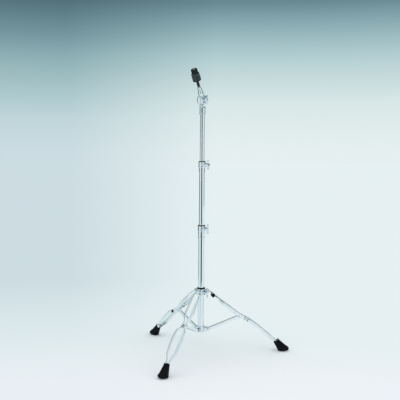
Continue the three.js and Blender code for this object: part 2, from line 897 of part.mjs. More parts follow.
// The two heads of a stay's pin, one on each ear of the bracket.
function stayPinHead(side) {
  const head = pinHeadDiameter / 2;
  const made = turned(
    [
      [0, 0],
      [head, 0],
      [head, pinHeadHeight / 3],
      [head / 2, pinHeadHeight],
      [0, pinHeadHeight],
    ],
    roundSides,
  );
  const out = side > 0 ? alongY(made) : alongY(made).rotateX(Math.PI);
  return solid(out.translate(bracketPivot.x, side * (midEarOuter + seatGap), bracketPivot.y));
}

function tripod() {
  hub();
  bracket();
  legNames.forEach((name, i) => {
    const leg = group(stand, legAzimuth(i));
    place(leg, "leg_pin_" + name, headedPin(pinDiameter, hubEarOuter, hubPivot.x, hubPivot.y), chrome);
    place(leg, "leg_strip_" + name + "_a", legStrip(1), chrome);
    place(leg, "leg_strip_" + name + "_b", legStrip(-1), chrome);
    const stayRivet = headedPin(midRivetDiameter, midEarOuter, midPivot.x, midPivot.y);
    place(leg, "stay_rivet_" + name, stayRivet, chrome);
    place(leg, "stay_" + name, stay(), chrome);
    place(leg, "stay_pin_" + name + "_a", stayPinHead(1), chrome);
    place(leg, "stay_pin_" + name + "_b", stayPinHead(-1), chrome);
    const { body, screw } = foot();
    place(leg, "foot_" + name, body, blackRubber);
    place(leg, "foot_screw_" + name, screw, chrome);
    if (i === 0) place(leg, "leg_bumper", bumper(), blackRubber);
  });
}

// A toothed ring round Y, from one place along Y to another.
function toothedRing(from, to) {
  const shape = new THREE.Shape();
  const step = Math.PI / toothCount;
  const tip = toothDiameter / 2;
  for (let i = 0; i < 2 * toothCount; i++) {
    const radius = i % 2 ? tip - toothDepth : tip;
    const angle = i * step;
    const point = [radius * Math.cos(angle), radius * Math.sin(angle)];
    if (i) shape.lineTo(...point);
    else shape.moveTo(...point);
  }
  return plate(shape, from, to);
}

function tilterBase(head) {
  const clasp = upperTubeDiameter / 2 + slideGap;
  const outer = socketDiameter / 2;
  const top = -socketTopDrop;
  const low = top - socketLength;
  const neck = neckWidth / 2;
  const socket = turned([
    [clasp, low],
    [outer - collarChamfer, low],
    [outer, low + collarChamfer],
    [outer, top],
    [neck, top + socketDiameter / 4],
    [0, top + socketDiameter / 4],
    [0, top - socketCap],
    [clasp, top - socketCap],
    [clasp, low],
  ]);
  const back = -seatGap - baseDiscThickness;
  const throat = box(-neck, neck, back + socketDiameter / 4, -seatGap - toothWidth, top, -discDiameter / 4);
  const plain = alongY(disc(discDiameter / 2, back, -seatGap - toothWidth / 2, tubeSides));
  const hole = crossPin(screwDiameter / 2 + seatGap, back - cutOverrun, cutOverrun, 0, 0);
  const teeth = toothedRing(-seatGap - toothWidth, -seatGap);
  const rivetHeight = low + (socketLength - socketCap) / 2;
  const seat = alongX(disc(rivetShankDiameter / 2 + slideGap, 0, outer + cutOverrun));
  seat.translate(0, 0, rivetHeight);
  place(head, "tilter_base", cut(join(socket, throat, plain, teeth), hole, seat), castChrome);
  const pin = alongX(
    rivet(rivetShankDiameter, rivetHeadDiameter, rivetHeadHeight, clasp + slideGap, outer + seatGap),
  ).translate(0, 0, rivetHeight);
  place(head, "tilter_rivet", solid(pin), chrome);
  const boltHead = disc(boltHeadDiameter / 2, back - seatGap - boltHeadHeight, back - seatGap, 6);
  const boltTip = seatGap + armDiscThickness + seatGap + nutBarrelLength + boltTipReach;
  const shank = disc(screwDiameter / 2, back - seatGap - boltHeadHeight / 2, boltTip);
  place(head, "tilter_bolt", join(alongY(boltHead), alongY(shank)), chrome);
  const nutStart = seatGap + armDiscThickness + seatGap;
  const bored = cut(
    wings(nutStart, nutBarrelDiameter, nutBarrelLength),
    disc(screwDiameter / 2 + seatGap, nutStart - cutOverrun, nutStart + nutBarrelLength + cutOverrun),
  );
  place(head, "tilter_wing_nut", solid(alongY(geometryOf(bored).rotateZ(radians(nutWingAngle)))), chrome);
}

function tilterArm(arm) {
  const front = seatGap + armDiscThickness;
  const plain = alongY(disc(discDiameter / 2, seatGap + toothWidth / 2, front, tubeSides));
  const teeth = toothedRing(seatGap, seatGap + toothWidth);
  const half = armBridgeWidth / 2;
  const lowRadius = armCollarLowDiameter / 2;
  const topRadius = armCollarTopDiameter / 2;
  const collarEnd = armCollarStart + armCollarLength;
  const bridge = box(-half, half, seatGap, front, discDiameter / 4, armCollarStart + armCollarLength / 4);
  const rodCollar = turned(
    [
      [0, armCollarStart],
      [lowRadius - collarChamfer, armCollarStart],
      [lowRadius, armCollarStart + collarChamfer],
      [lowRadius, armCollarStart + armCollarLength / 4],
      [topRadius, collarEnd - collarChamfer],
      [topRadius - collarChamfer, collarEnd],
      [0, collarEnd],
    ],
    roundSides,
  );
  const socketFloor = collarEnd - rodSocketDepth;
  const bore = disc(rodDiameter / 2 + seatGap, socketFloor, collarEnd + cutOverrun);
  const hole = crossPin(screwDiameter / 2 + seatGap, -cutOverrun, front + cutOverrun, 0, 0);
  const grubHole = alongX(disc(grubDiameter / 2 + seatGap, 0, armCollarLowDiameter));
  grubHole.translate(0, 0, grubHeight);
  place(arm, "tilter_arm", cut(join(plain, teeth, bridge, rodCollar), bore, hole, grubHole), castChrome);
  const grub = alongX(disc(grubDiameter / 2, rodDiameter / 2 + seatGap, topRadius));
  place(arm, "rod_grub_screw", solid(grub.translate(0, 0, grubHeight)), chrome);
  return socketFloor;
}

// A round pad with a bore, its edges eased.
function pad(diameter, low, thickness, bore) {
  const outer = diameter / 2;
  const high = low + thickness;
  return turned(
    [
      [bore, low],
      [outer - feltRounding, low],
      [outer, low + feltRounding],
      [outer, high - feltRounding],
      [outer - feltRounding, high],
      [bore, high],
      [bore, low],
    ],
    tubeSides,
  );
}

function cymbalSeat(arm, rodStart) {
  const rod = rodDiameter / 2;
  const bore = rod + seatGap;
  const stem = sleeveDiameter / 2;
  const seatTop = seatHeight + seatThickness;
  const lowerFelt = seatTop + seatGap;
  const upperFelt = lowerFelt + feltThickness + seatGap;
  const feltTop = upperFelt + feltThickness;
  const nutStart = feltTop + seatGap;
  place(arm, "cymbal_rod", solid(disc(rod, rodStart + seatGap, rodEnd)), chrome);
  const sleeve = turned(
    [
      [bore, sleeveStart],
      [stem, sleeveStart],
      [stem, seatHeight],
      [seatDiameter / 2, seatHeight],
      [seatDiameter / 2, seatTop],
      [stem, seatTop],
      [stem, feltTop],
      [bore, feltTop],
      [bore, sleeveStart],
    ],
    tubeSides,
  );
  place(arm, "cymbal_sleeve", solid(sleeve), blackNylon);
  place(arm, "lower_felt", solid(pad(lowerFeltDiameter, lowerFelt, feltThickness, stem + seatGap)), greyFelt);
  place(arm, "upper_felt", solid(pad(upperFeltDiameter, upperFelt, feltThickness, stem + seatGap)), greyFelt);
  place(arm, "top_nut", topNut(nutStart, bore), blackNylon);
}

// A ribbed grip with eased ends: the ribbed outline is extruded and trimmed by a turned envelope.
function topNut(low, bore) {
  const outer = topNutDiameter / 2;
  const high = low + topNutHeight;
  const shape = new THREE.Shape();
  const steps = 4 * topNutRibs;
  for (let i = 0; i < steps; i++) {
    const angle = (2 * Math.PI * i) / steps;
    const radius = outer - topNutRibDepth * (0.5 - 0.5 * Math.cos(topNutRibs * angle));
    const point = [radius * Math.cos(angle), radius * Math.sin(angle)];
    if (i) shape.lineTo(...point);
    else shape.moveTo(...point);
  }
  const ribbed = new THREE.ExtrudeGeometry(shape, { depth: topNutHeight, bevelEnabled: false });
  const envelope = turned([
    [bore, low],
    [outer - topNutChamfer, low],
    [outer, low + topNutChamfer],
    [outer, high - topNutChamfer],
    [outer - topNutChamfer, high],
    [bore, high],
    [bore, low],
  ]);
  return solid(ribbed.translate(0, 0, low)).intersect(solid(envelope));
}

function tilter() {
  const head = group(stand, tiltAzimuth, tilterPivotHeight);
  tilterBase(head);
  const arm = new THREE.Group();
  arm.rotation.y = radians(tiltAngle);
  head.add(arm);
  cymbalSeat(arm, tilterArm(arm));
}

tubes();
plugs();
collar("base", baseTubeDiameter, middleTubeDiameter, baseTubeTop, baseSkirtLength, baseBandDiameter);
collar("middle", middleTubeDiameter, upperTubeDiameter, middleTubeTop, middleSkirtLength, middleBandDiameter);
tripod();
tilter();

// The origin goes to the middle of the bounding box's floor.
stand.updateMatrixWorld(true);
const bounds = new THREE.Box3().setFromObject(stand, true);
const middle = bounds.getCenter(new THREE.Vector3());
stand.position.set(-middle.x, -middle.y, -bounds.min.z);

export default stand;
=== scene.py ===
# %% [markdown]
# # A straight cymbal stand
#
# The real object is a light chromed stand: three steel tubes that slide into each other, a tripod of pressed
# steel strips, a toothed tilter and a short rod with two felts for the cymbal. Nearly everything is bright
# chrome, so the picture lives on smooth curved surfaces, eased edges and on what the chrome has to reflect.
#
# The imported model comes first. Its bodies say which pieces move together, and its nodes say where each piece
# is. Every piece made below stands in for one of those nodes, at the same place and size.

# %% Load the frame
import json
from math import atan2, cos, degrees, pi, radians, sin, sqrt, tan

import bmesh
import bpy
from mathutils import Matrix, Vector, geometry, noise


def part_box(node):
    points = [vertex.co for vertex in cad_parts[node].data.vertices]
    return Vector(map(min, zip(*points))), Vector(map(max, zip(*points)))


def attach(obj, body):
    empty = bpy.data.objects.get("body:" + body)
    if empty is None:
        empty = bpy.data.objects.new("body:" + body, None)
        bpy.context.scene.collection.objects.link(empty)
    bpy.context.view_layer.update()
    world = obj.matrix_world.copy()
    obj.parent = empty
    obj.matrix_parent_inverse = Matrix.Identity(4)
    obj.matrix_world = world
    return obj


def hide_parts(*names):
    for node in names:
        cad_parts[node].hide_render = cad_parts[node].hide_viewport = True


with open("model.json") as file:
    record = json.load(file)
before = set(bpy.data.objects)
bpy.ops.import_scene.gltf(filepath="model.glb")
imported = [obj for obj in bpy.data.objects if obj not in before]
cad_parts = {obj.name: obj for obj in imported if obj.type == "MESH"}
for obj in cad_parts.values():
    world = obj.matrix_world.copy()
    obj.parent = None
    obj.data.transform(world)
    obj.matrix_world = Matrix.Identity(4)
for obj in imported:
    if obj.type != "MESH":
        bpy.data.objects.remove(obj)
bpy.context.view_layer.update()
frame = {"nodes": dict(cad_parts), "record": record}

# %% [markdown]
# The imported record says which body each node rides on and which slot its finish has. Both are looked up here
# once: a piece made below needs only the name of the node that it stands in for to find its body, and the
# slots give their finish to the nodes that stay.

# %% Bodies and slots
BODY_OF = {node: body for body, nodes in frame["record"]["behaviour"]["bodies"].items() for node in nodes}
SLOT_OF = {part["node"]: part["material_slot"] for part in frame["record"]["subparts"]}
print("slots:", ", ".join(sorted(set(SLOT_OF.values()))))

# %% [markdown]
# Sizes below are written in millimetres, as a maker would, and turned to metres where a point is made. The
# pole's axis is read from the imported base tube, so that nothing has to be fitted by hand. Three kinds of
# place are needed: round the pole at an angle, in a leg's own plane, and on the tilter, which leans. Pieces
# are made upright along Z, and three quarter turns lay them down along X or Y.

# %% Places
MM = 0.001
tube_low, tube_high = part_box("base_tube")
POLE = Vector(((tube_low[0] + tube_high[0]) / 2, (tube_low[1] + tube_high[1]) / 2, 0))
LEG_ANGLES = {"right": 0, "back": 120, "front": 240}
TILT_SIDE = -126
TILT = 32.8
TILTER_PIVOT = 1036.3
FACE_X = Matrix.Rotation(radians(90), 4, "Y")
FACE_Y = Matrix.Rotation(radians(-90), 4, "X")
FACE_BACK_Y = Matrix.Rotation(radians(90), 4, "X")


def shifted(x, y, z):
    return Matrix.Translation(Vector((x, y, z)) * MM)


def turn_z(angle):
    return Matrix.Rotation(radians(angle), 4, "Z")


def round_pole(angle=0, height=0):
    return Matrix.Translation(POLE) @ shifted(0, 0, height) @ turn_z(angle)


HEAD = round_pole(TILT_SIDE, TILTER_PIVOT)
ARM = HEAD @ Matrix.Rotation(radians(TILT), 4, "Y")
print("the pole stands at", [round(v, 4) for v in POLE])

# %% [markdown]
# ## Materials
#
# A material is a small network. One helper adds a node, fills its sockets and draws its links, so that each
# finish below can be read as a short list. Colours are picked as sRGB hex values, the way a colour picker
# shows them, and one function turns them to the linear values that the shader needs. A pattern is given the
# real size of its blotches, and Object coordinates are in metres, so its scale is one over that size.

# %% Helpers for materials
NOISE_SPAN = (0.3, 0.7)  # nearly all of a noise lies between these


def linear(code):
    parts = [int(code[i:i + 2], 16) / 255 for i in (1, 3, 5)]
    return tuple(c / 12.92 if c <= 0.04045 else ((c + 0.055) / 1.055) ** 2.4 for c in parts) + (1.0,)


def per(size):
    """The scale of a pattern whose blotches are about size millimetres wide."""
    return 1 / (size * MM)


def add_node(tree, kind, *inputs, **named):
    """Adds a node. Inputs fill its sockets in order, a Capital name is a socket, a small one is a setting.

    An input that is a node is linked from the first output that the node has in use.
    """
    node = tree.nodes.new(kind)
    for name, value in named.items():
        if name[0].islower():
            setattr(node, name, value)
    pairs = list(zip(node.inputs, inputs))
    for name, value in named.items():
        if name[0].isupper():
            label = name.replace("_", " ")
            pairs.append((next(s for s in node.inputs if s.name == label and s.enabled), value))
    for socket, value in pairs:
        if isinstance(value, bpy.types.Node):
            value = next(output for output in value.outputs if output.enabled)
        if isinstance(value, bpy.types.NodeSocket):
            tree.links.new(value, socket)
        else:
            socket.default_value = value
    return node


def new_material(name):
    made = bpy.data.materials.new(name)
    made.use_nodes = True
    made.node_tree.nodes.clear()
    print("material:", made.name)
    return made, made.node_tree


# %% [markdown]
# **Chrome plate.** Decorative chrome is a very thin bright layer over nickel on steel. It is a metal, so its
# colour is its reflection, and it is nearly a mirror. What shows that it is real is small: the steel under
# it was drawn and buffed, so the gloss drifts a little, and a hand or a cloth leaves it slightly duller in
# patches. Castings and pressed strips are buffed by hand and keep a soft waviness.

# %% Chrome on drawn steel, on castings and on pressed strips
PATCH = 35


def chrome_plate(name, colour, shade, gloss, wave, wave_height):
    made, tree = new_material(name)
    point = add_node(tree, "ShaderNodeTexCoord").outputs["Object"]
    patches = add_node(tree, "ShaderNodeTexNoise", Vector=point, Scale=per(PATCH), Detail=3, Roughness=0.55)
    buffing = add_node(tree, "ShaderNodeTexNoise", Vector=point, Scale=per(wave), Detail=2, Roughness=0.55)
    dull = add_node(tree, "ShaderNodeMapRange", patches, *NOISE_SPAN)
    tint = add_node(tree, "ShaderNodeMix", Factor=dull, A=linear(colour), B=linear(shade), data_type="RGBA")
    rough = add_node(tree, "ShaderNodeMapRange", patches, *NOISE_SPAN, *gloss)
    bump = add_node(tree, "ShaderNodeBump", Strength=0.5, Distance=wave_height * MM, Height=buffing)
    shader = add_node(
        tree, "ShaderNodeBsdfPrincipled", Base_Color=tint, Metallic=1.0, Roughness=rough, Normal=bump
    )
    add_node(tree, "ShaderNodeOutputMaterial", shader)
    return made


chrome = chrome_plate("chrome_plate_on_drawn_steel", "#EAF3F6", "#E2ECEF", (0.025, 0.06), 12, 0.004)
cast_chrome = chrome_plate("chrome_plate_on_buffed_castings", "#E8F1F5", "#DCE6EA", (0.06, 0.13), 4, 0.05)
pressed_chrome = chrome_plate("chrome_plate_on_pressed_strip", "#EFF6F7", "#E6EEF0", (0.06, 0.11), 6, 0.03)

# %% [markdown]
# **Rubber.** Each foot and the bumper are moulded in one piece from black rubber. It is dull, a little grey
# where it is rubbed, and the mould leaves a fine even grain, here drawn at about a millimetre so that it
# shows.
#
# **Nylon.** The bushes, the sleeve, the plug, the guides and the top nut are black nylon. It is smoother
# than rubber and has a soft shine. Fine pits from the mould break that shine up.

# %% Rubber and nylon
RUBBED_PATCH = 22


def moulded(name, colour, rubbed, gloss, pit, pit_height, shine):
    made, tree = new_material(name)
    point = add_node(tree, "ShaderNodeTexCoord").outputs["Object"]
    patches = add_node(
        tree, "ShaderNodeTexNoise", Vector=point, Scale=per(RUBBED_PATCH), Detail=4, Roughness=0.55
    )
    pits = add_node(tree, "ShaderNodeTexNoise", Vector=point, Scale=per(pit), Detail=3, Roughness=0.55)
    worn = add_node(tree, "ShaderNodeMapRange", patches, *NOISE_SPAN)
    tint = add_node(tree, "ShaderNodeMix", Factor=worn, A=linear(colour), B=linear(rubbed), data_type="RGBA")
    rough = add_node(tree, "ShaderNodeMapRange", patches, *NOISE_SPAN, *gloss)
    bump = add_node(tree, "ShaderNodeBump", Strength=0.6, Distance=pit_height * MM, Height=pits)
    shader = add_node(
        tree, "ShaderNodeBsdfPrincipled", Base_Color=tint, Roughness=rough, Normal=bump,
        Specular_IOR_Level=shine,
    )
    add_node(tree, "ShaderNodeOutputMaterial", shader)
    return made


rubber = moulded("moulded_black_rubber", "#05090C", "#0D1318", (0.5, 0.7), 1.1, 0.12, 0.12)
nylon = moulded("moulded_black_nylon", "#0A0E10", "#14181A", (0.3, 0.42), 0.7, 0.05, 0.25)

# %% [markdown]
# **Felt.** The washers are pressed wool. Wool fibres lie every way, so the surface has no direction: it is
# a soft mottled dark grey with a pale bloom at grazing angles, which is sheen. Fibres are about 0.03 mm, far
# too fine to show, so the tangle is drawn at about 1 mm, and larger clumps at 6 mm mottle it.

# %% Pressed wool felt
TANGLE, CLUMP = 1.2, 6


def pressed_felt(name, colour, light):
    made, tree = new_material(name)
    point = add_node(tree, "ShaderNodeTexCoord").outputs["Object"]
    tangle = add_node(tree, "ShaderNodeTexNoise", Vector=point, Scale=per(TANGLE), Detail=6, Roughness=0.75)
    clumps = add_node(tree, "ShaderNodeTexNoise", Vector=point, Scale=per(CLUMP), Detail=3, Roughness=0.55)
    mottle = add_node(tree, "ShaderNodeMix", Factor=0.35, A=tangle, B=clumps, data_type="FLOAT")
    shade = add_node(tree, "ShaderNodeMapRange", mottle, *NOISE_SPAN)
    tint = add_node(tree, "ShaderNodeMix", Factor=shade, A=linear(colour), B=linear(light), data_type="RGBA")
    bump = add_node(tree, "ShaderNodeBump", Strength=0.9, Distance=0.5 * MM, Height=tangle)
    shader = add_node(
        tree, "ShaderNodeBsdfPrincipled", Base_Color=tint, Roughness=0.95, Normal=bump,
        Sheen_Weight=0.12, Sheen_Roughness=0.6,
    )
    add_node(tree, "ShaderNodeOutputMaterial", shader)
    return made


felt = pressed_felt("pressed_wool_felt", "#1B2429", "#38444B")

# %% [markdown]
# The nodes that stay as they are, such as the guides inside the tubes, get the same finishes through the
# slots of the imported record.

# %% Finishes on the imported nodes
FINISHES = {"chrome": chrome, "cast_chrome": cast_chrome, "rubber": rubber, "nylon": nylon, "felt": felt}
for node_name, slot_name in SLOT_OF.items():
    packed_mesh = frame["nodes"][node_name].data
    packed_mesh.materials.clear()
    packed_mesh.materials.append(FINISHES[slot_name])
print("packed nodes with a finish:", len(SLOT_OF))

# %% [markdown]
# ## Turned pieces
#
# Most of a stand is turned or tubular, so its pieces are made the way a lathe makes them: half an outline is
# spun about an axis. An outline that starts on the axis ends there too and is solid. One that starts off the
# axis is joined to itself and makes a ring. A real corner is never perfectly sharp, and on chrome the eased
# corner is what catches the light. `eased` rounds each corner of the outline before it is spun, which costs
# less than a bevel afterwards and keeps the surface even.

# %% Outlines and the lathe
MERGE = 1e-7  # points closer than this, in metres, are one


def eased(points, radius, steps=3):
    rounded = []
    count = len(points)
    ends = (0, count - 1) if points[0][0] == 0 else ()
    for i, corner in enumerate(points):
        here = Vector(corner)
        if i in ends:
            rounded.append(here)
            continue
        before = Vector(points[i - 1]) - here
        after = Vector(points[(i + 1) % count]) - here
        reach = min(radius, 0.45 * before.length, 0.45 * after.length)
        start = here + before.normalized() * reach
        end = here + after.normalized() * reach
        for k in range(steps + 1):
            t = k / steps
            rounded.append(start * (1 - t) ** 2 + here * 2 * t * (1 - t) + end * t ** 2)
    return rounded


def spun(points, steps=96, angle=2 * pi):
    """A new bmesh from (radius, height) points that are spun about Z."""
    bm = bmesh.new()
    verts = [bm.verts.new((radius * MM, 0, height * MM)) for radius, height in points]
    pairs = list(zip(verts, verts[1:]))
    if points[0][0] > 0:
        pairs.append((verts[-1], verts[0]))
    edges = [bm.edges.new(pair) for pair in pairs]
    bmesh.ops.spin(
        bm, geom=verts + edges, cent=(0, 0, 0), axis=(0, 0, 1), angle=angle, steps=steps,
        use_merge=angle == 2 * pi,
    )
    bmesh.ops.remove_doubles(bm, verts=bm.verts, dist=MERGE)
    bmesh.ops.recalc_face_normals(bm, faces=bm.faces)
    return bm


# %% [markdown]
# A casting is several such shapes in one. They are placed by a matrix and put in one mesh, where they simply
# overlap. Joining them by Booleans would leave thin faces along each seam, and on chrome those show as
# creases, while an overlap leaves a clean line like the one between two ground faces.

# %% Place a mesh and put it in another
def moved(bm, matrix):
    bmesh.ops.transform(bm, matrix=matrix, verts=bm.verts)
    return bm


def put_in(bm, other, place=None):
    if place is not None:
        moved(other, place)
    scrap = bpy.data.meshes.new("scrap")
    other.to_mesh(scrap)
    other.free()
    bm.from_mesh(scrap)
    bpy.data.meshes.remove(scrap)
    return bm


# %% [markdown]
# Some steps are easier with a modifier than with an operator. The mesh is then put in an object for a
# moment, the modifier is applied, and the result comes back as a mesh. A Solidify modifier gives a folded
# sheet its thickness, and a Boolean keeps what two closed meshes share.

# %% Modifiers that are applied at once
def new_object(bm, name, *materials):
    mesh = bpy.data.meshes.new(name)
    bm.to_mesh(mesh)
    bm.free()
    for material in materials:
        mesh.materials.append(material)
    made = bpy.data.objects.new(name, mesh)
    bpy.context.scene.collection.objects.link(made)
    return made


def applied(*holders):
    """The first object's mesh with its modifiers applied; all the objects are removed."""
    made = bmesh.new()
    made.from_object(holders[0], bpy.context.evaluated_depsgraph_get())
    for holder in holders:
        mesh = holder.data
        bpy.data.objects.remove(holder)
        bpy.data.meshes.remove(mesh)
    return made


def in_sheet(bm, thickness, offset, edge):
    holder = new_object(bm, "sheet")
    solid = holder.modifiers.new("thickness", "SOLIDIFY")
    solid.thickness, solid.offset = thickness * MM, offset
    ease = holder.modifiers.new("edges", "BEVEL")
    ease.width, ease.segments, ease.limit_method, ease.angle_limit = edge * MM, 2, "ANGLE", radians(50)
    return applied(holder)


def shared(bm, other):
    holders = new_object(bm, "first"), new_object(other, "second")
    step = holders[0].modifiers.new("shared", "BOOLEAN")
    step.operation, step.object = "INTERSECT", holders[1]
    return applied(*holders)


# %% [markdown]
# A finished piece sits at the origin with its place in its mesh, is smooth except at real edges, and takes
# its body from the node that it replaces; its material is given with it. Weighted normals let the large faces
# decide how light falls on the small bevels beside them, so that flat chrome looks flat right up to its eased
# edge.

# %% Finish a piece
def finish_piece(bm, node, making, material, place=None, sharp=35):
    if place is not None:
        moved(bm, place)
    piece = new_object(bm, node + "_" + making, material)
    piece.data.shade_smooth()
    piece.data.set_sharp_from_angle(angle=radians(sharp))
    piece.modifiers.new("weighted_normals", "WEIGHTED_NORMAL").keep_sharp = True
    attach(piece, BODY_OF[node])
    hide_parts(node)
    print(piece.name, "rides on", BODY_OF[node], "and has", len(piece.data.polygons), "faces")


# %% [markdown]
# ## The pole
#
# Each tube is drawn steel with a 1.2 mm wall and slightly rounded mouths. The tubes are 1 inch, 7/8 inch and
# 3/4 inch wide, so that each slides in the one below with a nylon guide between them. A nylon plug closes
# the lower end of the base tube.

# %% Three tubes and a plug
WALL = 1.2
BASE_TUBE, MIDDLE_TUBE, UPPER_TUBE = 25.4 / 2, 22.2 / 2, 19.05 / 2
BASE_LOW, BASE_TOP = 93, 505
MIDDLE_LOW, MIDDLE_TOP = 365, 765
UPPER_LOW, UPPER_TOP = 640, 1000


def tube(node, radius, low, high):
    inner = radius - WALL
    outline = [(inner, low), (radius, low), (radius, high), (inner, high)]
    finish_piece(spun(eased(outline, 0.4), 128), node, "drawn", chrome, round_pole())


tube("base_tube", BASE_TUBE, BASE_LOW, BASE_TOP)
tube("middle_tube", MIDDLE_TUBE, MIDDLE_LOW, MIDDLE_TOP)
tube("upper_tube", UPPER_TUBE, UPPER_LOW, UPPER_TOP)
plug_outline = [(0, 89.7), (BASE_TUBE, 89.7), (BASE_TUBE, 92.7), (11.3, 92.7), (11.3, 106.5), (0, 106.5)]
finish_piece(spun(eased(plug_outline, 0.8)), "base_tube_plug", "moulded", nylon, round_pole())

# %% [markdown]
# ## Collars, bushes and wing screws
#
# Where one tube enters the next sits a chromed collar with a split nylon bush inside. A wing screw presses
# on the bush and the bush grips the tube. The screw runs in a boss: a second short turned piece that lies
# along X and flares at its root, as a casting does. The boss must not reach into the bore, where the bush
# turns, so only the part of it that lies in a wide ring round the bore is kept.

# %% Screw bosses
BOSS, THREAD = 7, 4.4
RING_RADIUS, RING_HALF = 60, 15


def boss(bore, start, reach, place):
    outline = [(0, start), (BOSS + 2.4, start), (BOSS + 0.4, start + 3), (BOSS, start + 6)]
    outline += [(BOSS, reach), (THREAD, reach), (THREAD, reach - 4), (0, reach - 4)]
    height = place.translation.z / MM
    low, high = height - RING_HALF, height + RING_HALF
    ring = spun([(bore, low), (RING_RADIUS, low), (RING_RADIUS, high), (bore, high)], 128)
    return shared(moved(spun(eased(outline, 0.8), 64), place @ FACE_X), ring)


# %% [markdown]
# Rivets and screws have domed heads. The dome's outline is worked out as an arc, a little fuller than a
# circle, and the shank under it goes into the wall, so that the head never floats.

# %% Domed heads
DOME_STEPS = 8


def domed(shank, head, height, start, seat):
    """The outline of a shank from start to seat with a dome above."""
    outline = [(0, start), (shank, start), (shank, seat), (head, seat)]
    for k in range(1, DOME_STEPS):
        turn = pi / 2 * k / DOME_STEPS
        outline.append((head * cos(turn) ** 0.8, seat + height * (0.25 + 0.75 * sin(turn))))
    return outline + [(0, seat + height)]


def rivet(node, bore, wall, place):
    """A small rivet from just outside a bore to just outside the wall round it."""
    finish_piece(spun(domed(1.6, 3, 1.6, bore + 0.2, wall + 0.3), 40), node, "domed", chrome, place @ FACE_X)


# %% [markdown]
# The bush is turned too, but not all the way round: the outline is spun through a little less than a full
# turn and both ends are filled, which leaves the slit that lets it close on the tube.

# %% Split bushes
RIVET_SIDE = 128
SLIT = 1.6
CLEARANCE = 0.2
SEAT_GAP = 0.3


def split_bush(node, inner, outer, flange, low, high, lip):
    rim = high + lip
    outline = [(inner, low), (outer, low), (outer, high), (flange, high), (flange, rim), (inner, rim)]
    slit = SLIT / outer
    bm = spun(eased(outline, 0.5), 96, 2 * pi - slit)
    bmesh.ops.holes_fill(bm, edges=[e for e in bm.edges if e.is_boundary], sides=0)
    bmesh.ops.recalc_face_normals(bm, faces=bm.faces)
    finish_piece(bm, node, "split", nylon, round_pole(RIVET_SIDE + degrees(slit) / 2))


# %% [markdown]
# A wing screw is a casting: a round barrel with two flat wings that swell towards their ends. The wing
# starts as one block, whose end face is extruded in five steps, each time moved and scaled. Subdividing and
# smoothing it twice then melts the steps into one flowing wing.

# %% Wings
WING_SECTIONS = (  # distance out, middle height, half height, half thickness
    (0.5, 5.0, 4.2, 1.9),
    (2.0, 5.0, 4.2, 1.9),
    (5.5, 5.0, 3.7, 1.75),
    (9.5, 6.0, 3.3, 1.45),
    (14.0, 6.9, 4.9, 1.6),
    (18.0, 7.2, 4.6, 1.55),
    (19.9, 7.2, 2.4, 1.1),
)


def set_section(verts, out, middle, half_height, half_thickness):
    centre = sum(v.co.z for v in verts) / len(verts)
    for v in verts:
        side = 1 if v.co.y > 0 else -1
        up = 1 if v.co.z > centre else -1
        v.co = Vector((out, half_thickness * side, middle + half_height * up)) * MM


def wing():
    bm = bmesh.new()
    bmesh.ops.create_cube(bm, size=1)
    outer = [v for v in bm.verts if v.co.x > 0]
    set_section([v for v in bm.verts if v.co.x < 0], *WING_SECTIONS[0])
    set_section(outer, *WING_SECTIONS[1])
    face = next(f for f in bm.faces if all(v in outer for v in f.verts))
    for section in WING_SECTIONS[2:]:
        made = bmesh.ops.extrude_face_region(bm, geom=[face])["geom"]
        bmesh.ops.delete(bm, geom=[face], context="FACES_ONLY")
        face = next(g for g in made if isinstance(g, bmesh.types.BMFace))
        set_section([g for g in made if isinstance(g, bmesh.types.BMVert)], *section)
    bmesh.ops.recalc_face_normals(bm, faces=bm.faces)
    for _ in range(2):
        bmesh.ops.subdivide_edges(bm, edges=bm.edges, cuts=1, use_grid_fill=True, smooth=0)
        bmesh.ops.smooth_vert(
            bm, verts=bm.verts, factor=0.5, use_axis_x=True, use_axis_y=True, use_axis_z=True
        )
    return bm


def winged(start, barrel, length, bore=0):
    """A barrel along Z from start up, with a wing on each side."""
    top = start + length
    outline = [(bore, start), (barrel + 0.4, start), (barrel, start + 3), (barrel, top), (bore, top)]
    bm = spun(eased(outline, 1.0), 64)
    for turn in (0, 180):
        put_in(bm, wing(), shifted(0, 0, start) @ turn_z(turn))
    return bm


def wing_screw(node, bore, reach, place):
    """A wing screw whose shank starts at a bore and whose barrel sits on a boss of that reach."""
    tip = bore + 0.1
    shank = [(0, tip), (4, tip), (4, reach + 3), (0, reach + 3)]
    bm = put_in(winged(reach + SEAT_GAP, 5.75, 10), spun(eased(shank, 0.5), 48))
    finish_piece(bm, node, "cast", cast_chrome, place @ FACE_X, sharp=50)


# %% [markdown]
# The two collars are alike in everything but size, so one function makes a whole set from the height of the
# tube's mouth: the casting with its boss, the rivet that holds it on its tube, the bush and the wing screw.
# The casting is one outline: a bead at the bottom, a skirt round the tube and a wider band round the bush.

# %% Collars
LOCK_SIDE = -52
SCREW_REACH = 27.5
BAND_HEIGHT = 21
COLLAR_LIP = 3.4


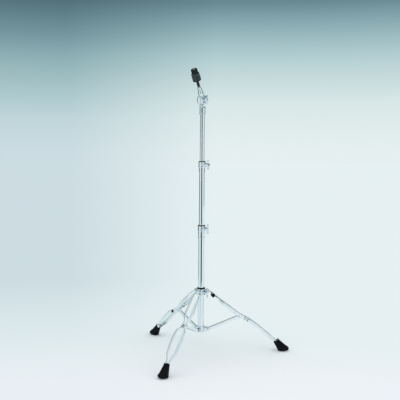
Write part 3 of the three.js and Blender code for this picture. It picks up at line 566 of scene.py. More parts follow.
def collar(prefix, tube_radius, inner_tube, mouth, skirt_length, skirt, bore, band):
    clasp = tube_radius + CLEARANCE
    low, ledge = mouth - skirt_length, mouth + SEAT_GAP
    top = ledge + BAND_HEIGHT
    outline = [
        (clasp, low), (skirt + 0.5, low), (skirt + 0.5, low + 2.2), (skirt, low + 2.8), (skirt, ledge - 2.4),
        (band, ledge - 0.4), (band, top), (bore, top), (bore, ledge), (clasp, ledge),
    ]
    screw_height = (ledge + top) / 2
    bm = spun(eased(outline, 0.7), 128)
    put_in(bm, boss(bore, band - 3, SCREW_REACH, shifted(0, 0, screw_height) @ turn_z(LOCK_SIDE)))
    finish_piece(bm, prefix + "_collar", "cast", cast_chrome, round_pole())
    rivet(prefix + "_collar_rivet", clasp, skirt, round_pole(RIVET_SIDE, (low + mouth) / 2))
    split_bush(
        prefix + "_bush", inner_tube + CLEARANCE, bore - CLEARANCE, band, ledge + SEAT_GAP, top + SEAT_GAP,
        COLLAR_LIP,
    )
    wing_screw(prefix + "_wing_screw", bore, SCREW_REACH, round_pole(LOCK_SIDE, screw_height))


collar("base", BASE_TUBE, MIDDLE_TUBE, BASE_TOP, 28, 14.5, 13.5, 15.2)
collar("middle", MIDDLE_TUBE, UPPER_TUBE, MIDDLE_TOP, 18, 12.9, 11.9, 14.5)

# %% [markdown]
# ## The leg hub and the bottom bracket
#
# The hub slides on the base tube when the tripod folds. It is a cast sleeve with three lugs. A lug is a
# rounded tongue: a disc whose inner half is drawn back into the sleeve, then given its thickness and an
# eased edge. The bracket at the bottom is pressed from sheet and has three pairs of thin ears, which are the
# same tongue with another thickness. All flat pieces of the stand take these steps, so they come first.

# %% Flat pieces
def round_face(radius, segments=48):
    """A new bmesh with one round face in the plane of X and Z."""
    bm = bmesh.new()
    bmesh.ops.create_circle(bm, cap_ends=True, segments=segments, radius=radius * MM, matrix=FACE_BACK_Y)
    return bm


def extruded(bm, x, y, z):
    made = bmesh.ops.extrude_face_region(bm, geom=bm.faces[:])["geom"]
    bmesh.ops.translate(
        bm, vec=Vector((x, y, z)) * MM, verts=[g for g in made if isinstance(g, bmesh.types.BMVert)]
    )
    bmesh.ops.recalc_face_normals(bm, faces=bm.faces)


def softened(bm, edges, width, segments):
    bmesh.ops.bevel(
        bm, geom=edges, offset=width * MM, offset_type="OFFSET", segments=segments, profile=0.5,
        affect="EDGES", material=-1,
    )


def rims(bm):
    """The edges that don't run along Y."""
    return [e for e in bm.edges if abs(e.verts[0].co.y - e.verts[1].co.y) < MERGE]


def plate(bm, low, high, edge, segments=2):
    """Makes a face in the plane of X and Z a plate from low to high along Y, with eased rims."""
    extruded(bm, 0, high - low, 0)
    softened(bm, rims(bm), edge, segments)
    return moved(bm, shifted(0, low, 0))


def tongue(root, pivot, radius, low, high, edge):
    """A rounded plate in a leg's plane, from the wall at root out to round its pivot."""
    bm = round_face(radius)
    for v in bm.verts:
        if v.co.x < -1e-6:
            v.co.x = (root - pivot.x) * MM
    bmesh.ops.remove_doubles(bm, verts=bm.verts, dist=MERGE)
    return moved(plate(bm, low, high, edge, 3), shifted(pivot.x, 0, pivot.y))


# %% [markdown]
# The hub's own outline has a bead at each end. Its bush stands out above it as a black ring, and its wing
# screw locks the height at which the legs are spread.

# %% Leg hub
HUB_PIVOT = Vector((30, 257))
HUB_SIDE = -60
HUB_LOW, HUB_TOP = 243, 267.6
HUB_BORE, HUB_WAIST, HUB_BEAD = 14.9, 17.4, 18
HUB_FLANGE, HUB_LIP = 16.6, 5.4
HUB_REACH = 34
HUB_ROOT = 15.5  # where the lugs and the boss start, inside the sleeve's wall


def hub():
    outline = [
        (HUB_BORE, HUB_LOW), (HUB_BEAD, HUB_LOW), (HUB_BEAD, HUB_LOW + 4), (HUB_WAIST, HUB_LOW + 5.5),
        (HUB_WAIST, HUB_TOP - 5.5), (HUB_BEAD, HUB_TOP - 4), (HUB_BEAD, HUB_TOP), (HUB_BORE, HUB_TOP),
    ]
    bm = spun(eased(outline, 1.0), 128)
    for angle in LEG_ANGLES.values():
        put_in(bm, tongue(HUB_ROOT, HUB_PIVOT, 7.5, -6.5, 6.5, 1.1), turn_z(angle))
    put_in(bm, boss(HUB_BORE, HUB_ROOT, HUB_REACH, turn_z(HUB_SIDE) @ shifted(0, 0, HUB_PIVOT.y)))
    finish_piece(bm, "leg_hub", "cast", cast_chrome, round_pole())
    split_bush(
        "hub_bush", BASE_TUBE + CLEARANCE, HUB_BORE - CLEARANCE, HUB_FLANGE, HUB_LOW + SEAT_GAP,
        HUB_TOP + SEAT_GAP, HUB_LIP,
    )
    wing_screw("hub_wing_screw", HUB_BORE, HUB_REACH, round_pole(HUB_SIDE, HUB_PIVOT.y))


hub()

# %% [markdown]
# The bracket is fixed to the lower end of the base tube with a rivet. A pair of ears holds each stay.

# %% Bottom bracket
BRACKET_PIVOT = Vector((29.5, 99))
BRACKET_BORE, BRACKET_WALL = 12.9, 15.2
BRACKET_LOW, BRACKET_TOP = 91, 113
EAR_IN, EAR_OUT = 5.4, 7.4


def bracket():
    sleeve = [
        (BRACKET_BORE, BRACKET_LOW), (BRACKET_WALL, BRACKET_LOW), (BRACKET_WALL, BRACKET_TOP),
        (BRACKET_BORE, BRACKET_TOP),
    ]
    bm = spun(eased(sleeve, 0.7), 128)
    for angle in LEG_ANGLES.values():
        for low in (EAR_IN, -EAR_OUT):
            put_in(bm, tongue(12, BRACKET_PIVOT, 8, low, low + EAR_OUT - EAR_IN, 0.4), turn_z(angle))
    finish_piece(bm, "bottom_bracket", "pressed", cast_chrome, round_pole())
    rivet("bracket_rivet", BRACKET_BORE, BRACKET_WALL, round_pole(RIVET_SIDE - 60, 110))


bracket()

# %% [markdown]
# ## Legs
#
# Each leg is two pressed steel strips. They meet at the hub, spread into a loop, meet again where the stay
# is riveted, spread once more and meet in the rubber foot. Seen from the side a strip follows one line, the
# web line, and seen from above it follows a plan of widths. So a strip starts as a flat grid of faces: one
# way of the grid runs along the leg, the other runs across the strip and down its flange. Each grid point
# is moved to where the two curves say, and a Solidify modifier gives the sheet its thickness.
#
# The web line goes smoothly through a few points. A Bezier curve between each pair gives the same line as
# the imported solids, when its handles come from the neighbours' distances.

# %% The web line
WEB_SHARES = (  # share of the way from the hub to the foot, rise above the straight line as a share of it
    (0.004, 0.0132), (0.2198, 0.0089), (0.4143, 0.0051), (0.4692, 0.0062), (0.5219, 0.0151),
    (0.5984, 0.0246), (0.7133, 0.0247), (0.852, 0.0163), (0.9616, 0.0094), (1.0316, 0.0043),
)
WEB_STEPS = 60
FOOT_NECK = Vector((317, 43.5))


def trace_web():
    leg = FOOT_NECK - HUB_PIVOT
    upright = Vector((-leg.y, leg.x))
    points = [HUB_PIVOT + leg * along + upright * rise for along, rise in WEB_SHARES]
    ends = [points[0] * 2 - points[1]] + points + [points[-1] * 2 - points[-2]]
    line = []
    for i in range(1, len(ends) - 2):
        before, start, end, after = ends[i - 1:i + 3]
        gaps = [sqrt((b - a).length) for a, b in ((before, start), (start, end), (end, after))]
        first = (start - before) / gaps[0] - (end - before) / (gaps[0] + gaps[1]) + (end - start) / gaps[1]
        second = (end - start) / gaps[1] - (after - start) / (gaps[1] + gaps[2]) + (after - end) / gaps[2]
        handles = start + first * gaps[1] / 3, end - second * gaps[1] / 3
        line += geometry.interpolate_bezier(start, *handles, end, WEB_STEPS)[:-1]
    return [Vector(p[:2]) for p in line + points[-1:]]


web_line = trace_web()
web_reach = [0.0]
for a, b in zip(web_line, web_line[1:]):
    web_reach.append(web_reach[-1] + (b - a).length)


def web_at(share):
    """The point, the way along and the way out of the strip at a share of its length."""
    goal = share * web_reach[-1]
    i = min(max(k for k, reach in enumerate(web_reach) if reach <= goal), len(web_line) - 2)
    a, b = web_line[i], web_line[i + 1]
    along = (b - a).normalized()
    return a + along * (goal - web_reach[i]), along, Vector((-along.y, along.x))


print("a strip is", round(web_reach[-1]), "mm long")

# %% [markdown]
# The plan says how far the strip's outer and inner edges are from the leg's middle at a few stations. Along
# a loop the widths swell from those of the ears to those of the loop and back, and between stations they
# are blended smoothly.

# %% The plan of widths
HUB_EAR = (8.9, 6.9)
MID_EAR = (EAR_OUT, EAR_IN)
FOOT_END = (8.0, 2.8)
UPPER_LOOP = (18.5, 6.8)
LOWER_LOOP = (21.5, 11.5)
UPPER_STATIONS = ((0.022, 0), (0.06, 0.45), (0.11, 0.76), (0.27, 1), (0.355, 0.7), (0.4, 0))
LOWER_STATIONS = ((0.505, 0), (0.548, 0.86), (0.61, 0.98), (0.74, 1), (0.83, 0.9), (0.935, 0))


def mixed(a, b, t):
    return tuple(p + (q - p) * t for p, q in zip(a, b))


def smooth(t):
    t = min(max(t, 0), 1)
    return t * t * (3 - 2 * t)


def stations(shares, start, end, loop):
    half = len(shares) / 2
    return [(at, mixed(start if i < half else end, loop, bulge)) for i, (at, bulge) in enumerate(shares)]


plan = [(0.0, HUB_EAR)] + stations(UPPER_STATIONS, HUB_EAR, MID_EAR, UPPER_LOOP)
plan += stations(LOWER_STATIONS, MID_EAR, FOOT_END, LOWER_LOOP) + [(1.0, FOOT_END)]


def widths_at(share):
    i = next((k for k, (at, _) in enumerate(plan) if at >= share and k > 0), len(plan) - 1)
    (low, before), (high, after) = plan[i - 1], plan[i]
    return mixed(before, after, smooth((share - low) / (high - low)))


print("stations in the plan:", len(plan))

# %% [markdown]
# Across the strip the grid has three parts: a flat web, a rounded corner and the flange that hangs from it.
# The flange is low at the hub, where it has to clear the bumper, and runs out just before the foot, where
# the strip goes flat into the rubber.

# %% One strip
SHEET = 1.6
FLANGE, LOW_FLANGE, LEAST_FLANGE = 14, 4.5, 0.3
CORNER = 1.6
WEB_END, CORNER_END = 0.45, 0.75  # shares of the way across the grid
ACROSS, ALONG = 13, 220


def across(outer, inner, depth, share):
    """A point of the section at a share of the way from the strip's inner edge to the flange's lip."""
    half = SHEET / 2
    edge = outer - half
    corner = min(CORNER, depth * 0.9, (edge - inner - half) / 2)
    if share <= WEB_END:
        return Vector((inner + half + (edge - corner - inner - half) * share / WEB_END, 0))
    if share <= CORNER_END:
        turn = (share - WEB_END) / (CORNER_END - WEB_END) * pi / 2
        return Vector((edge - corner + corner * sin(turn), -corner + corner * cos(turn)))
    return Vector((edge, -corner - (depth - corner) * (share - CORNER_END) / (1 - CORNER_END)))


def flange_depth(share):
    grown = LOW_FLANGE + (FLANGE - LOW_FLANGE) * smooth((share - 0.08) / 0.12)
    run_out = (FLANGE - SHEET) * smooth((share - 0.945) / 0.015)
    return max(grown - SHEET / 2 - run_out, LEAST_FLANGE)


def strip(side):
    bm = bmesh.new()
    bmesh.ops.create_grid(bm, x_segments=ALONG, y_segments=ACROSS, size=1)
    for v in bm.verts:
        share = (v.co.x + 1) / 2
        point, _, out = web_at(share)
        section = across(*widths_at(share), flange_depth(share), (v.co.y + 1) / 2)
        p = point + out * section.y
        v.co = Vector((p.x, side * section.x, p.y)) * MM
    bmesh.ops.recalc_face_normals(bm, faces=bm.faces)
    return in_sheet(bm, SHEET, 0, 0.3)


# %% [markdown]
# At the hub the strip has a small round ear for the leg's pin. Where the stay is riveted, a deeper lobe
# hangs from the web: a disc whose upper half is drawn up and out to meet the web. The lobe stands slightly
# proud of the flange beside it, because two faces in one plane would be shown as a speckle of both.

# %% Ears and lobes
MID_SHARE, MID_DROP, LOBE_REACH, LOBE = 0.448, 12, 14, 8.5
LOBE_PROUD = 0.25
mid_web, mid_along, mid_out = web_at(MID_SHARE)
MID_PIVOT = mid_web - mid_out * MID_DROP
print("the stay is riveted at", [round(v, 1) for v in MID_PIVOT])


def ear(side):
    bm = moved(round_face(7.5), shifted(HUB_PIVOT.x, 0, HUB_PIVOT.y))
    return plate(bm, *sorted(side * edge for edge in HUB_EAR), 0.35)


def lobe(side):
    bm = round_face(LOBE)
    for v in bm.verts:
        local = Vector((v.co.x, v.co.z)) / MM
        along, out = local.dot(mid_along), local.dot(mid_out)
        if out > 0:
            lift = smooth(out / LOBE)
            out += (MID_DROP - LOBE) * lift
            along += (LOBE_REACH * (1 if along > 0 else -1) - along) * lift * min(abs(along) / 2, 1)
        p = MID_PIVOT + mid_along * along + mid_out * out
        v.co = Vector((p.x, 0, p.y)) * MM
    return plate(bm, *sorted((side * EAR_IN, side * (EAR_OUT + LOBE_PROUD))), 0.35)


# %% [markdown]
# ## Feet
#
# The foot is a big cone of rubber, a little narrower from side to side than from top to bottom, and flat
# where it stands. It is turned round its own axis with a raised ring near the sole, squeezed sideways and
# laid along the leg. Then only what lies in a bowl that stands on the floor is kept. The bowl's flat bottom
# cuts the sole, and its rounded rim takes away the sharp edge that a straight cut would leave.

# %% Foot
FOOT_PITCH, FOOT_LENGTH, NECK = 51, 61, 12.5
FOOT_FLARE = 10
NECK_SQUEEZE, SOLE_SQUEEZE = 0.84, 0.965
BOWL_AHEAD, BOWL_SQUEEZE = 28, 22 / 29
BOWL = [(0, 0), (17, 0), (26, 5), (29, 10), (44, 26), (44, 60), (0, 60)]


def foot():
    def wall(along):
        return NECK + along * tan(radians(FOOT_FLARE))

    outline = [
        (0, 1.2), (7.6, 1.2), (8.6, 0), (NECK, 0), (NECK + 0.6, 3), (wall(5) - 0.4, 5.6),
        (wall(44) - 0.2, 44), (wall(46) + 1.2, 46.2), (wall(57) + 0.9, 57.5),
        (wall(FOOT_LENGTH) - 1.2, FOOT_LENGTH), (0, FOOT_LENGTH),
    ]
    bm = spun(eased(outline, 2.0, 4))
    for v in bm.verts:
        v.co.y *= NECK_SQUEEZE + (SOLE_SQUEEZE - NECK_SQUEEZE) * v.co.z / (FOOT_LENGTH * MM)
    moved(bm, shifted(FOOT_NECK.x, 0, FOOT_NECK.y) @ Matrix.Rotation(radians(90 + FOOT_PITCH), 4, "Y"))
    bowl = spun(eased(BOWL, 6, 6))
    bmesh.ops.scale(bowl, vec=(1, BOWL_SQUEEZE, 1), verts=bowl.verts)
    return shared(bm, moved(bowl, shifted(FOOT_NECK.x + BOWL_AHEAD, 0, 0)))


# %% [markdown]
# ## Stays
#
# A stay is a strip folded into a channel that is open below, with rounded ends. It starts as a face with two
# round ends, is extruded to its width, loses the faces of its underside and gets its two bends eased. The
# sheet's thickness goes inwards, so that the outside keeps its size.

# %% Stay
STAY_HEIGHT, STAY_WIDTH, STAY_SHEET = 12, 10, 1.5


def stay():
    line = MID_PIVOT - BRACKET_PIVOT
    bm = round_face(STAY_HEIGHT / 2)
    for v in bm.verts:
        if v.co.x > 1e-6:
            v.co.x += line.length * MM
    extruded(bm, 0, STAY_WIDTH, 0)
    moved(bm, shifted(0, -STAY_WIDTH / 2, 0))
    bm.normal_update()
    under = [f for f in bm.faces if abs(f.normal.y) < 0.5 and f.normal.z < 0.3]
    bmesh.ops.delete(bm, geom=under, context="FACES")
    softened(bm, [e for e in rims(bm) if not e.is_boundary], 1.3, 4)
    bm = in_sheet(bm, STAY_SHEET, -1, 0.25)
    turn = Matrix.Rotation(-atan2(line.y, line.x), 4, "Y")
    return moved(bm, shifted(BRACKET_PIVOT.x, 0, BRACKET_PIVOT.y) @ turn)


# %% [markdown]
# The bumper is a small block of rubber that wraps the strips of one leg near the hub. When the tripod is
# folded it meets the base tube, so that chrome never knocks on chrome. A box with well eased edges is
# enough.

# %% Bumper
BUMPER_SHARE, BUMPER_DROP = 0.066, 6
BUMPER_CORNER = Vector((6.5, 15, 7))


def rounded_box(low, high, edge):
    bm = bmesh.new()
    bmesh.ops.create_cube(bm, size=1)
    low, high = Vector(low), Vector(high)
    bmesh.ops.scale(bm, vec=(high - low) * MM, verts=bm.verts)
    bmesh.ops.translate(bm, vec=(high + low) / 2 * MM, verts=bm.verts)
    softened(bm, bm.edges[:], edge, 4)
    return bm


def bumper():
    point, along, out = web_at(BUMPER_SHARE)
    centre = point - out * BUMPER_DROP
    turn = Matrix.Rotation(-atan2(along.y, along.x), 4, "Y")
    return moved(rounded_box(-BUMPER_CORNER, BUMPER_CORNER, 2.5), shifted(centre.x, 0, centre.y) @ turn)


# %% [markdown]
# A leg turns on a pin through the hub's lug, and a rivet joins its strips to the stay. Both are one shank
# with a domed head on each end. The stay's pin in the bracket has its two heads as nodes of their own. All
# of it is made in the plane of a leg and then turned round the pole, once for each leg.

# %% Put the tripod together
def headed_pin(shank, half_span, pivot):
    bm = bmesh.new()
    for side in (FACE_Y, FACE_BACK_Y):
        half = spun(domed(shank, 5, 2, -0.01, half_span + SEAT_GAP), 40)
        put_in(bm, half, shifted(pivot.x, 0, pivot.y) @ side)
    return bm


def half_leg(name, side, letter):
    place = round_pole(LEG_ANGLES[name])
    bm = put_in(put_in(strip(side), ear(side)), lobe(side))
    finish_piece(bm, "leg_strip_" + name + "_" + letter, "pressed", pressed_chrome, place, sharp=50)
    outside = shifted(BRACKET_PIVOT.x, side * (EAR_OUT + SEAT_GAP), BRACKET_PIVOT.y)
    head = moved(spun(domed(4.9, 5, 2, 0, 0.01), 40), outside @ (FACE_Y if side > 0 else FACE_BACK_Y))
    finish_piece(head, "stay_pin_" + name + "_" + letter, "domed", chrome, place)


def leg(name):
    place = round_pole(LEG_ANGLES[name])
    half_leg(name, 1, "a")
    half_leg(name, -1, "b")
    finish_piece(headed_pin(3, HUB_EAR[0], HUB_PIVOT), "leg_pin_" + name, "domed", chrome, place)
    finish_piece(headed_pin(2.6, EAR_OUT, MID_PIVOT), "stay_rivet_" + name, "domed", chrome, place)
    finish_piece(stay(), "stay_" + name, "folded", pressed_chrome, place)
    finish_piece(foot(), "foot_" + name, "moulded", rubber, place)
    tail, _, tail_out = web_at(0.975)
    lean = Matrix.Rotation(atan2(tail_out.x, tail_out.y), 4, "Y")
    screw = spun(domed(2, 4, 2.4, -6, 9.3), 40)
    finish_piece(screw, "foot_screw_" + name, "domed", chrome, place @ shifted(tail.x, 0, tail.y) @ lean)


for leg_name in LEG_ANGLES:
    leg(leg_name)
finish_piece(bumper(), "leg_bumper", "moulded", rubber, round_pole())

# %% [markdown]
# ## Tilter
#
# The tilter is two castings with toothed discs that face each other: one disc belongs to a socket on the
# upper tube, the other to the arm that holds the rod. A bolt runs through both and a wing nut clamps them.
# The teeth start as a circle of many short edges. Every other pair of them is drawn in, which leaves square
# teeth, and the plate helper gives them their thickness and an eased edge.

# %% Toothed discs
TEETH, TOOTH_RADIUS, TOOTH_DEPTH = 24, 21, 1.3


def toothed(low, high):
    bm = round_face(TOOTH_RADIUS, 4 * TEETH)
    for i, v in enumerate(sorted(bm.verts, key=lambda v: atan2(v.co.z, v.co.x))):
        if i % 4 in (0, 1):
            v.co *= (TOOTH_RADIUS - TOOTH_DEPTH) / TOOTH_RADIUS
    return plate(bm, low, high, 0.3)


# %% [markdown]
# The base is a turned socket that fits over the upper tube, a neck and the first disc. The disc stands on
# its edge, so its outline is spun upright and laid down along Y.

# %% Tilter base
TILTER_BORE, TILTER_WALL = 9.725, 12


def tilter_base():
    socket = [
        (TILTER_BORE, -60), (TILTER_WALL + 0.3, -60), (TILTER_WALL + 0.3, -56.5), (TILTER_WALL - 0.3, -55.5),
        (TILTER_WALL, -54), (TILTER_WALL, -32), (10, -26), (0, -24), (0, -36), (TILTER_BORE, -36),
    ]
    face = [(0, 0.3), (17, 0.3), (20, 0.9), (20, 12), (18, 15.6), (9.5, 17), (9, 17.3), (0, 17.3)]
    bm = spun(eased(socket, 0.8))
    put_in(bm, rounded_box((-10, -11.3, -32), (10, -3.3, -10), 2.2))
    put_in(bm, spun(eased(face, 0.9)), FACE_BACK_Y)
    put_in(bm, toothed(-3.3, -0.3))
    finish_piece(bm, "tilter_base", "cast", cast_chrome, HEAD)
    rivet("tilter_rivet", TILTER_BORE, TILTER_WALL, HEAD @ shifted(0, 0, -49))


tilter_base()

# %% [markdown]
# The arm is the other disc with a tapered socket for the rod. The rod is clamped there by a small screw.

# %% Tilter arm
def tilter_arm():
    face = [(0, 0.3), (17, 0.3), (20, 0.9), (20, 7), (18, 9.4), (9.5, 10.8), (0, 10.8)]
    socket = [
        (4.3, 31), (4.3, 57), (7.5, 57), (7.5, 53), (8.4, 46), (10.5, 31.5), (10.5, 22), (0, 22), (0, 31)
    ]
    bm = moved(spun(eased(face, 0.9)), FACE_Y)
    put_in(bm, toothed(0.3, 3.3))
    put_in(bm, rounded_box((-7.5, 0.5, 8.5), (7.5, 10.6, 31), 2.2))
    put_in(bm, spun(eased(socket, 1.2)))
    finish_piece(bm, "tilter_arm", "cast", cast_chrome, ARM)


tilter_arm()

# %% [markdown]
# The bolt's hexagonal head is a circle of six edges, extruded and eased. The wing nut is the wing screw's
# barrel and wings again, with a bore instead of a shank, turned so that its wings stand nearly upright.

# %% Bolt and wing nut
NUT_TURN = 78


def hexagon(radius, low, high):
    bm = bmesh.new()
    bmesh.ops.create_circle(bm, cap_ends=True, segments=6, radius=radius * MM)
    extruded(bm, 0, 0, high - low)
    softened(bm, bm.edges[:], 0.7, 3)
    return moved(bm, shifted(0, 0, low))


shaft = [(0, -20.6), (4, -20.6), (4, 24), (3.2, 25.1), (0, 25.1)]
bolt = put_in(hexagon(7.5, -23.6, -17.6), spun(eased(shaft, 0.9), 48))
finish_piece(bolt, "tilter_bolt", "turned", chrome, HEAD @ FACE_Y)
wing_nut = winged(11.1, 7, 12, 4.3)
finish_piece(wing_nut, "tilter_wing_nut", "cast", cast_chrome, HEAD @ FACE_Y @ turn_z(NUT_TURN), sharp=50)

# %% [markdown]
# ## Rod, sleeve, felts and top nut
#
# The cymbal sits between two felts on a nylon sleeve, so that metal never touches metal. The rod inside the
# sleeve is clamped in the arm by a grub screw. All three are plain turned pieces along the leaning arm.

# %% Rod, grub screw and sleeve
rod = [(0, 31.3), (4, 31.3), (4, 136.8), (3.2, 138), (0, 138)]
grub_screw = [(0, 4.4), (2.5, 4.4), (2.5, 7.4), (1.3, 7.4), (1.3, 6.2), (0, 6.2)]
sleeve_outline = [
    (4.3, 60), (5.5, 60), (5.5, 84.4), (7.5, 86.4), (16.5, 87.2), (16.5, 91.2), (5.5, 91.2), (5.5, 118.3),
    (4.3, 118.3),
]
sideways = shifted(0, 0, 41) @ FACE_X
finish_piece(spun(eased(rod, 0.9), 64), "cymbal_rod", "turned", chrome, ARM)
finish_piece(spun(eased(grub_screw, 0.9), 32), "rod_grub_screw", "turned", chrome, ARM @ sideways)
finish_piece(spun(eased(sleeve_outline, 0.8)), "cymbal_sleeve", "moulded", nylon, ARM)

# %% [markdown]
# A felt is a pressed washer with a nearly square rim. Its fibres lift the outline a little, which a bump in
# the material can't show, so each point is moved along its normal by two noises, one coarse and one fine.

# %% Felts
FELT_BORE = 5.8
FUZZ = ((420, 0.28), (1300, 0.14))  # waves in a metre, height in millimetres
FUZZ_INSET = 0.3


def felt_washer(node, radius, low, high):
    rim = [(radius, low), (radius, (low + high) / 2), (radius, high)]
    bm = spun(eased([(FELT_BORE, low), *rim, (FELT_BORE, high)], 1.8, 5), 160)
    bmesh.ops.subdivide_edges(bm, edges=bm.edges, cuts=1, use_grid_fill=True)
    bm.normal_update()
    for v in bm.verts:
        if v.co.xy.length > (FELT_BORE + 1.2) * MM:
            lift = sum(noise.noise(v.co * waves) * height for waves, height in FUZZ)
            v.co += v.normal * (lift - FUZZ_INSET) * MM
    finish_piece(bm, node, "pressed", felt, ARM, sharp=80)


felt_washer("lower_felt", 17.5, 91.5, 104.9)
felt_washer("upper_felt", 16.8, 105.2, 118.6)

# %% [markdown]
# The nut on top is moulded with ribs for the fingers. It is turned smooth first, with many steps, and its
# wall is cut into rows. The wall is then pressed in between the ribs by moving each point along its radius,
# less and less towards the two rims.

# %% Top nut
NUT_LOW, NUT_HIGH = 118.9, 136.9
NUT_RADIUS, NUT_BORE = 13, 4.3
RIBS, RIB_DEPTH = 12, 0.9


def rib_press(v):
    height = v.co.z / MM
    faded = smooth((height - NUT_LOW - 1) / 2) * smooth((NUT_HIGH - 1.5 - height) / 2)
    return RIB_DEPTH * (0.5 - 0.5 * cos(RIBS * atan2(v.co.y, v.co.x))) ** 2 * faded


def top_nut():
    outline = [
        (NUT_BORE, NUT_LOW), (11, NUT_LOW), (NUT_RADIUS, NUT_LOW + 2), (NUT_RADIUS, NUT_HIGH - 2.5),
        (11.2, NUT_HIGH), (7.5, NUT_HIGH), (6.9, NUT_HIGH - 1), (NUT_BORE, NUT_HIGH - 1),
    ]
    bm = spun(eased(outline, 1.1, 4), 240)
    walls = [e for e in bm.edges if abs(e.verts[0].co.z - e.verts[1].co.z) > 6 * MM]
    bmesh.ops.subdivide_edges(bm, edges=walls, cuts=6, use_grid_fill=True)
    for v in bm.verts:
        reach = v.co.xy.length / MM
        if reach > NUT_RADIUS - 1.4:
            v.co.xy *= (reach - rib_press(v)) / reach
    finish_piece(bm, "top_nut", "moulded", nylon, ARM)


top_nut()

# %% [markdown]
# ## Studio
#
# The photograph was taken against a paper sweep: pale below and behind the stand, and falling off to a dull
# blue grey towards the top. Chrome shows that surrounding, so the same light and dark must be there for its
# reflections too. The world therefore has two parts: a backdrop, seen by the camera and by shiny and clear
# surfaces, and a plain even light for everything else. The backdrop changes with the height of the view
# direction, which in a world is its Generated coordinate, and it is duller on the left than on the right.

# %% Left and right in the studio
LEFT_WAY = turn_z(171.8) @ Vector((1, 0, 0))
BACK_WAY = turn_z(83.1) @ Vector((1, 0, 0))


def facing(tree, way, goal, low, high):
    """From 0 to 1 as the part of a direction that points to the goal goes from low to high."""
    part = add_node(tree, "ShaderNodeVectorMath", way, goal, operation="DOT_PRODUCT")
    return add_node(tree, "ShaderNodeMapRange", part, low, high)


def leftness(tree, way):
    """How far a level direction points to the left part behind the stand, where the backdrop is darker and the
    floor has painted shade.
    """
    left, back = facing(tree, way, LEFT_WAY, 0.0, 0.21), facing(tree, way, BACK_WAY, 0.5, 0.9)
    return add_node(tree, "ShaderNodeMath", left, back, operation="MULTIPLY")


# %% [markdown]
# Two colour ramps over the height hold the paper's right and left side. Up to about a quarter they follow
# the photograph's background. Above that only the chrome sees the world, and there it is the paler grey of
# the studio's walls and ceiling. Light Path tells the rays that see the paper from all the others.

# %% World
SKY = (  # height of the view direction, colour on the right, colour on the left
    (0.0, "#E5EFF0", "#CBDCE2"),
    (0.048, "#DFEBEB", "#BFD5DA"),
    (0.077, "#D7E6E6", "#AECACF"),
    (0.105, "#C8DBDD", "#A0BEC2"),
    (0.134, "#B5D0D4", "#8CAFB4"),
    (0.162, "#9EBDC2", "#7697A0"),
    (0.19, "#83A4AC", "#61828B"),
    (0.213, "#678891", "#516C77"),
    (0.25, "#617F89", "#4F6974"),
    (0.29, "#8AA3AA", "#7F979F"),
    (0.5, "#93A8AE", "#8BA0A7"),
    (0.75, "#9DB0B5", "#97AAB0"),
    (1.0, "#C6D3D7", "#C2CFD4"),
)


def backdrop():
    world = bpy.data.worlds.new("paper_backdrop")
    bpy.context.scene.world = world
    world.use_nodes = True
    tree = world.node_tree
    tree.nodes.clear()
    direction = add_node(tree, "ShaderNodeTexCoord").outputs["Generated"]
    height = add_node(tree, "ShaderNodeSeparateXYZ", direction).outputs["Z"]
    papers = []
    for column in (1, 2):
        paper = add_node(tree, "ShaderNodeValToRGB", height)
        stops = paper.color_ramp.elements
        stops[0].color, stops[1].color = linear(SKY[0][column]), linear(SKY[-1][column])
        for row in SKY[1:-1]:
            stops.new(row[0]).color = linear(row[column])
        papers.append(paper)
    dull = leftness(tree, direction)
    sky = add_node(tree, "ShaderNodeMix", Factor=dull, A=papers[0], B=papers[1], data_type="RGBA")
    seen = add_node(tree, "ShaderNodeBackground", sky, 1.0)
    even = add_node(tree, "ShaderNodeBackground", linear("#F4F8FA"), 0.97)
    rays = add_node(tree, "ShaderNodeLightPath").outputs
    shiny = add_node(
        tree, "ShaderNodeMath", rays["Is Glossy Ray"], rays["Is Transmission Ray"], operation="MAXIMUM"
    )
    shown = add_node(tree, "ShaderNodeMath", rays["Is Camera Ray"], shiny, operation="MAXIMUM")
    mix = add_node(tree, "ShaderNodeMixShader", shown, even, seen)
    add_node(tree, "ShaderNodeOutputWorld", mix)
    print("world:", world.name, "with", len(SKY), "heights")


backdrop()

# %% [markdown]
# The floor is a very large disc in the colour of the backdrop's foot, so that no horizon shows. It is lit
# like anything else, and so it keeps the stand's soft shadow. Its colour also carries painted light and shade,
# by the distance from a spot on the floor in front of the stand: two slightly paler rings of painted light lie
# near the spot, and further away a painted shade on the left begins that goes on as the darker left of the
# backdrop.

# %% Floor
# The paper's own colour is PAPER with its fibre; the other paper colours here are painted light near the spot
# and painted shade on the left.
PAPER, FIBRE, PAINTED_SHADE_PAPER = "#E6EDED", "#E8EFEF", "#CDDADE"
NEAR_PAINTED_LIGHT, NEAREST_PAINTED_LIGHT = "#EFF0F3", "#EBF3F2"
FRONT_SPOT = Vector((POLE.x - 0.346, -2.74, 0))
# Where the rings of painted light near the spot begin and are full, and where the painted shade on the left
# begins and is full.
NEAR_LIGHT_RING, NEAREST_LIGHT_RING = (3.0, 2.4), (2.3, 1.9)  # metres from the spot where each begins and is full
FAR_SHADE_RING, FAR_SHADE_LEAST = (2.7, 4.4), 0.15
FLOOR_RADIUS = 60


def stage_piece(bm, name, material):
    new_object(bm, name, material)
    print("on the stage:", name)


